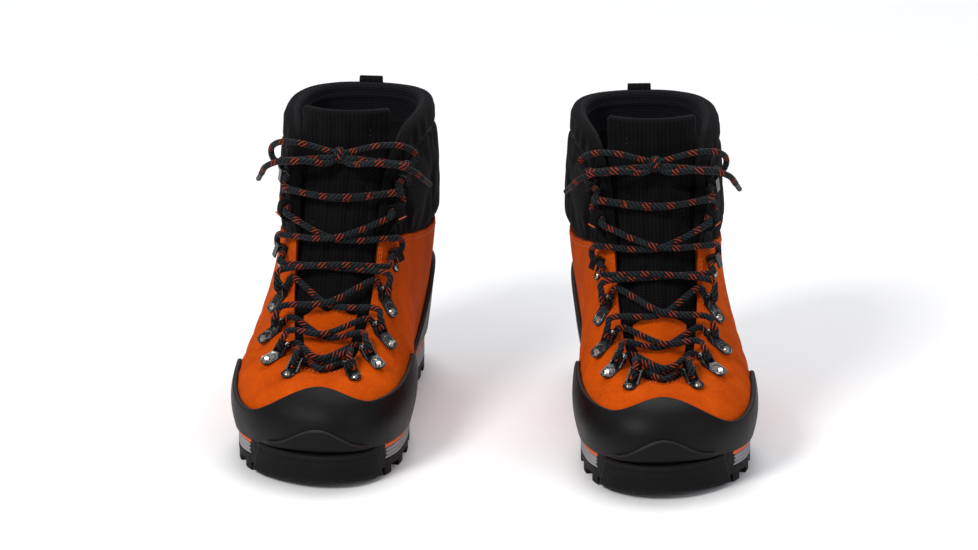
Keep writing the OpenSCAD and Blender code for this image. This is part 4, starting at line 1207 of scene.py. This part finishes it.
def half_lace(side):
    """Points of one half of the lace, from the toe to the knot."""
    points = []
    for row in range(1, 8):
        here = side if row % 2 else -side
        points += round_row(here, row)
        if row < 7:
            t = CROSSINGS[row - 1]
            base = (2 if t < 3 else 1.2 if t > 4.5 else 0) + OVER
            points.append(tongue_point(t, 0, base + 1 if here > 0 else base + 2 * LACE_R + 1.6))
    return points + [from_knot(side, BY_KNOT)]


BOW_LOOP = [
    [1, 0, 1.5], [8, -1, 3], [24, -4, 8], [38, 2, 7], [46, 12, 0], [44, 12, -8], [32, 2, -6],
    [19, -5, -2], [8, -4, -1], [1, -1.5, -1]]
BOW_END = [[2, -2, -1.5], [8, -6, -4], [22, -13, -1], [36, -11, -2], [47, -3, -8], [52, 8, -16]]
KNOT_ROOT = [BY_KNOT, (4, 0.6, -1.2), (-1, 0.5, 0.3)]
TIP_LENGTH = 14
TIP_OVERLAP = 2.0               # how far the tip reaches back over the lace


def build_lace(boot):
    vamp_bar = tongue_point(0.25, 0, OVER + 6)
    route = half_lace(1)[::-1] + [vamp_bar] + half_lace(-1)
    runs = [(curve(route, 1.1), LACE_R, 0.0)]
    # the two laces cross under the knot; the knot is two turns of lace round the roots of the bow
    turn = np.linspace(0, 4.2 * np.pi, 90)
    wrap = np.stack([-2.1 + 4.2 * turn / turn[-1], -3.5 * np.cos(turn), 3.5 * np.sin(turn)], -1)
    runs.append((even(KNOT + wrap, 0.8), LACE_R * 0.92, 0.31))
    for way in (-1, 1):
        runs.append((curve(from_knot(way, BOW_LOOP), 1.1), LACE_R, 0.1))
        runs.append((curve(from_knot(way, KNOT_ROOT), 0.8), LACE_R, 0.2))
    boot.on(tubes(boot, "lace", runs, LACE), "ankle", "lace_black", "lace")
    for way, name in ((1, "inner"), (-1, "outer")):
        path = curve(from_knot(way, BOW_END), 1.1)
        end = tubes(boot, f"{name}_lace_end", [(path, LACE_R, 0.17)], LACE)
        way_out = unit(path[-1] - path[-4])
        reach = np.linspace(-TIP_OVERLAP, TIP_LENGTH - TIP_OVERLAP, 18)
        tip_path = path[-1] + way_out * reach[:, None]
        share = np.linspace(0, 1, 18)
        radii = 1.95 - 0.25 * ramp(share, 0.1, 0.3) - 1.0 * np.clip((share - 0.93) / 0.07, 0, 1) ** 2
        tip = tubes(boot, f"{name}_lace_tip", [(tip_path, radii, 0.0)], TIP, 16)
        for piece in (end, tip):
            boot.on(piece, boot.cuff, "lace_black")
        tuple(boot.place(path[0]))
        [tuple(p) for p in boot.place(path)]


LOOP_BEND = 3.55                # radius of a webbing loop round the lace


def build_webbing_loops(boot):
    """Webbing folded round the lace, with both ends under a bar of tight stitches."""
    for way, name in ((1, "inner"), (-1, "outer")):
        angle = np.linspace(np.pi / 2, 3 * np.pi / 2, 15)
        bend = [(-2 + LOOP_BEND * np.cos(q), LOOP_BEND * np.sin(q)) for q in angle]
        section = [(6.6, -2.4), (5.4, 1.4), (2, 3.3)] + bend + [(3, -3.5), (6.6, -3.4)]
        path = curve([[x, 0, LOOP_Z + z] for x, z in section], 0.7)
        x, y, z, at = row_frame(way, 6)
        run = at + path[:, :1] * x + path[:, 2:] * z
        loop = tape(boot, f"{name}_webbing_loop", run, y[None] * np.ones((len(run), 1)), 9.5, 1.2, WEBBING)
        boot.on(loop, boot.cuff, "webbing_black", "collar_loops")
        bar = np.stack([np.full(24, 3.6), np.linspace(-4.2, 4.2, 24), np.full(24, LOOP_Z + 3.9)], -1)
        bar = in_row(way, 6, bar)
        lines = [(bar + z * rise, np.broadcast_to(z, bar.shape)) for rise in (0, 0.25)]
        tack = stitches(boot, f"{name}_bar_tack", lines, ORANGE_THREAD, 1.0, 0.2, 0.42)
        boot.on(tack, boot.cuff, "suede_orange")


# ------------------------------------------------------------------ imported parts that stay
def refine(boot, node, material, width, angle=38):
    """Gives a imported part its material, and breaks its sharp edges with a small round."""
    part = frame["nodes"][f"{boot.side}_{node}"]
    for place in part.material_slots:
        place.material = material
    if not part.material_slots:
        part.data.materials.append(material)
    weld = part.modifiers.new("weld", "WELD")
    weld.merge_threshold = 0.02 * MM
    bevel = part.modifiers.new("edges", "BEVEL")
    bevel.width, bevel.segments = width * MM, 3
    bevel.limit_method, bevel.angle_limit = "ANGLE", math.radians(angle)
    bevel.harden_normals = True
    bevel.use_clamp_overlap = True


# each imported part's material, and how wide its edges are rounded
PACKED = {
    "outsole": (SOLE, 0.8), "midsole": (GREY_FOAM, 0.4), "midsole_frame": (ORANGE_FOAM, 0.4),
    "shank": (BLACK_PLATE, 0.3), "lasting_board": (BOARD, 0.4), "footbed": (FELT, 1.0),
    "toe_loops": (BLACK_PLATE, 0.22), "guide_plates": (BLACK_PLATE, 0.22),
    "pins_and_rivets": (NICKEL, 0.15), "locking_hooks": (BLACK_PLATE, 0.25),
    "top_hooks": (BLACK_PLATE, 0.25), "toe_puff": (BOARD, 0.2), "heel_counter": (BOARD, 0.2)}
ROLLERS = [f"roller_{where}_{row}" for where in ("inner", "outer") for row in (2, 3, 4)]


def refine_parts(boot):
    for node, (material, width) in PACKED.items():
        refine(boot, node, material, width)
    for node in ROLLERS:
        refine(boot, node, NICKEL, 0.3)


RIM_X, RIM_R = 10.6, 2.9        # middle of a plate's raised rim down the boot, and its end's radius


def build_plate_rims(boot):
    """Raised rims pressed into the guide plates round their rivets."""
    runs = []
    for row in (2, 3, 4):
        for way in (1, -1):
            angle = np.linspace(0, 2 * np.pi, 49)[:-1]
            x = RIM_X + np.where(np.cos(angle) > 0, 1.9, -1.9) + RIM_R * np.cos(angle)
            ring = np.stack([x, RIM_R * np.sin(angle), np.full_like(x, PLATE_TOP + 0.05)], -1)
            ring = np.concatenate([ring, ring[:2]])
            runs.append((in_row(way, row, ring), 0.38, 0.0))
    boot.on(tubes(boot, "plate_rims", runs, GUNMETAL, 8), boot.foot, "metal_dark")


def build_suede_stitches(boot):
    """Two rows of stitches along the throat, and one along the top line."""
    lines = []
    for start, end, inset, rise in (
            (0.12, 3.32, SUEDE_SEAMS[0], -0.25), (0.12, 3.32, SUEDE_SEAMS[1], 0.1),
            (3.42, 7.9, SUEDE_SEAMS[0], -0.25)):
        for way in (1, -1):
            u = np.linspace(start, end, 260)
            column = u if way > 0 else COLUMNS - u
            v = rings_below(column, inset, 1.5, suede_edge, 120)
            lines.append((skin(column, v, np.full_like(u, rise)), outward(column, v)))
    boot.on(stitches(boot, "suede_stitches", lines, ORANGE_THREAD), boot.foot, "suede_orange")


# ------------------------------------------------------------------ run
def build(boot):
    refine_parts(boot)
    build_upper(boot)
    build_lining(boot)
    build_rubber(boot)
    build_toe_lip(boot)
    build_sole_bands(boot)
    build_toe_wall(boot)
    build_collar(boot)
    build_heel_pull(boot)
    build_tongue(boot)
    build_patch(boot)
    build_gusset(boot)
    build_lace(boot)
    build_webbing_loops(boot)
    build_plate_rims(boot)
    build_suede_stitches(boot)


make_camera()
make_studio()
for side in ("right", "left"):
    build(Boot(side))
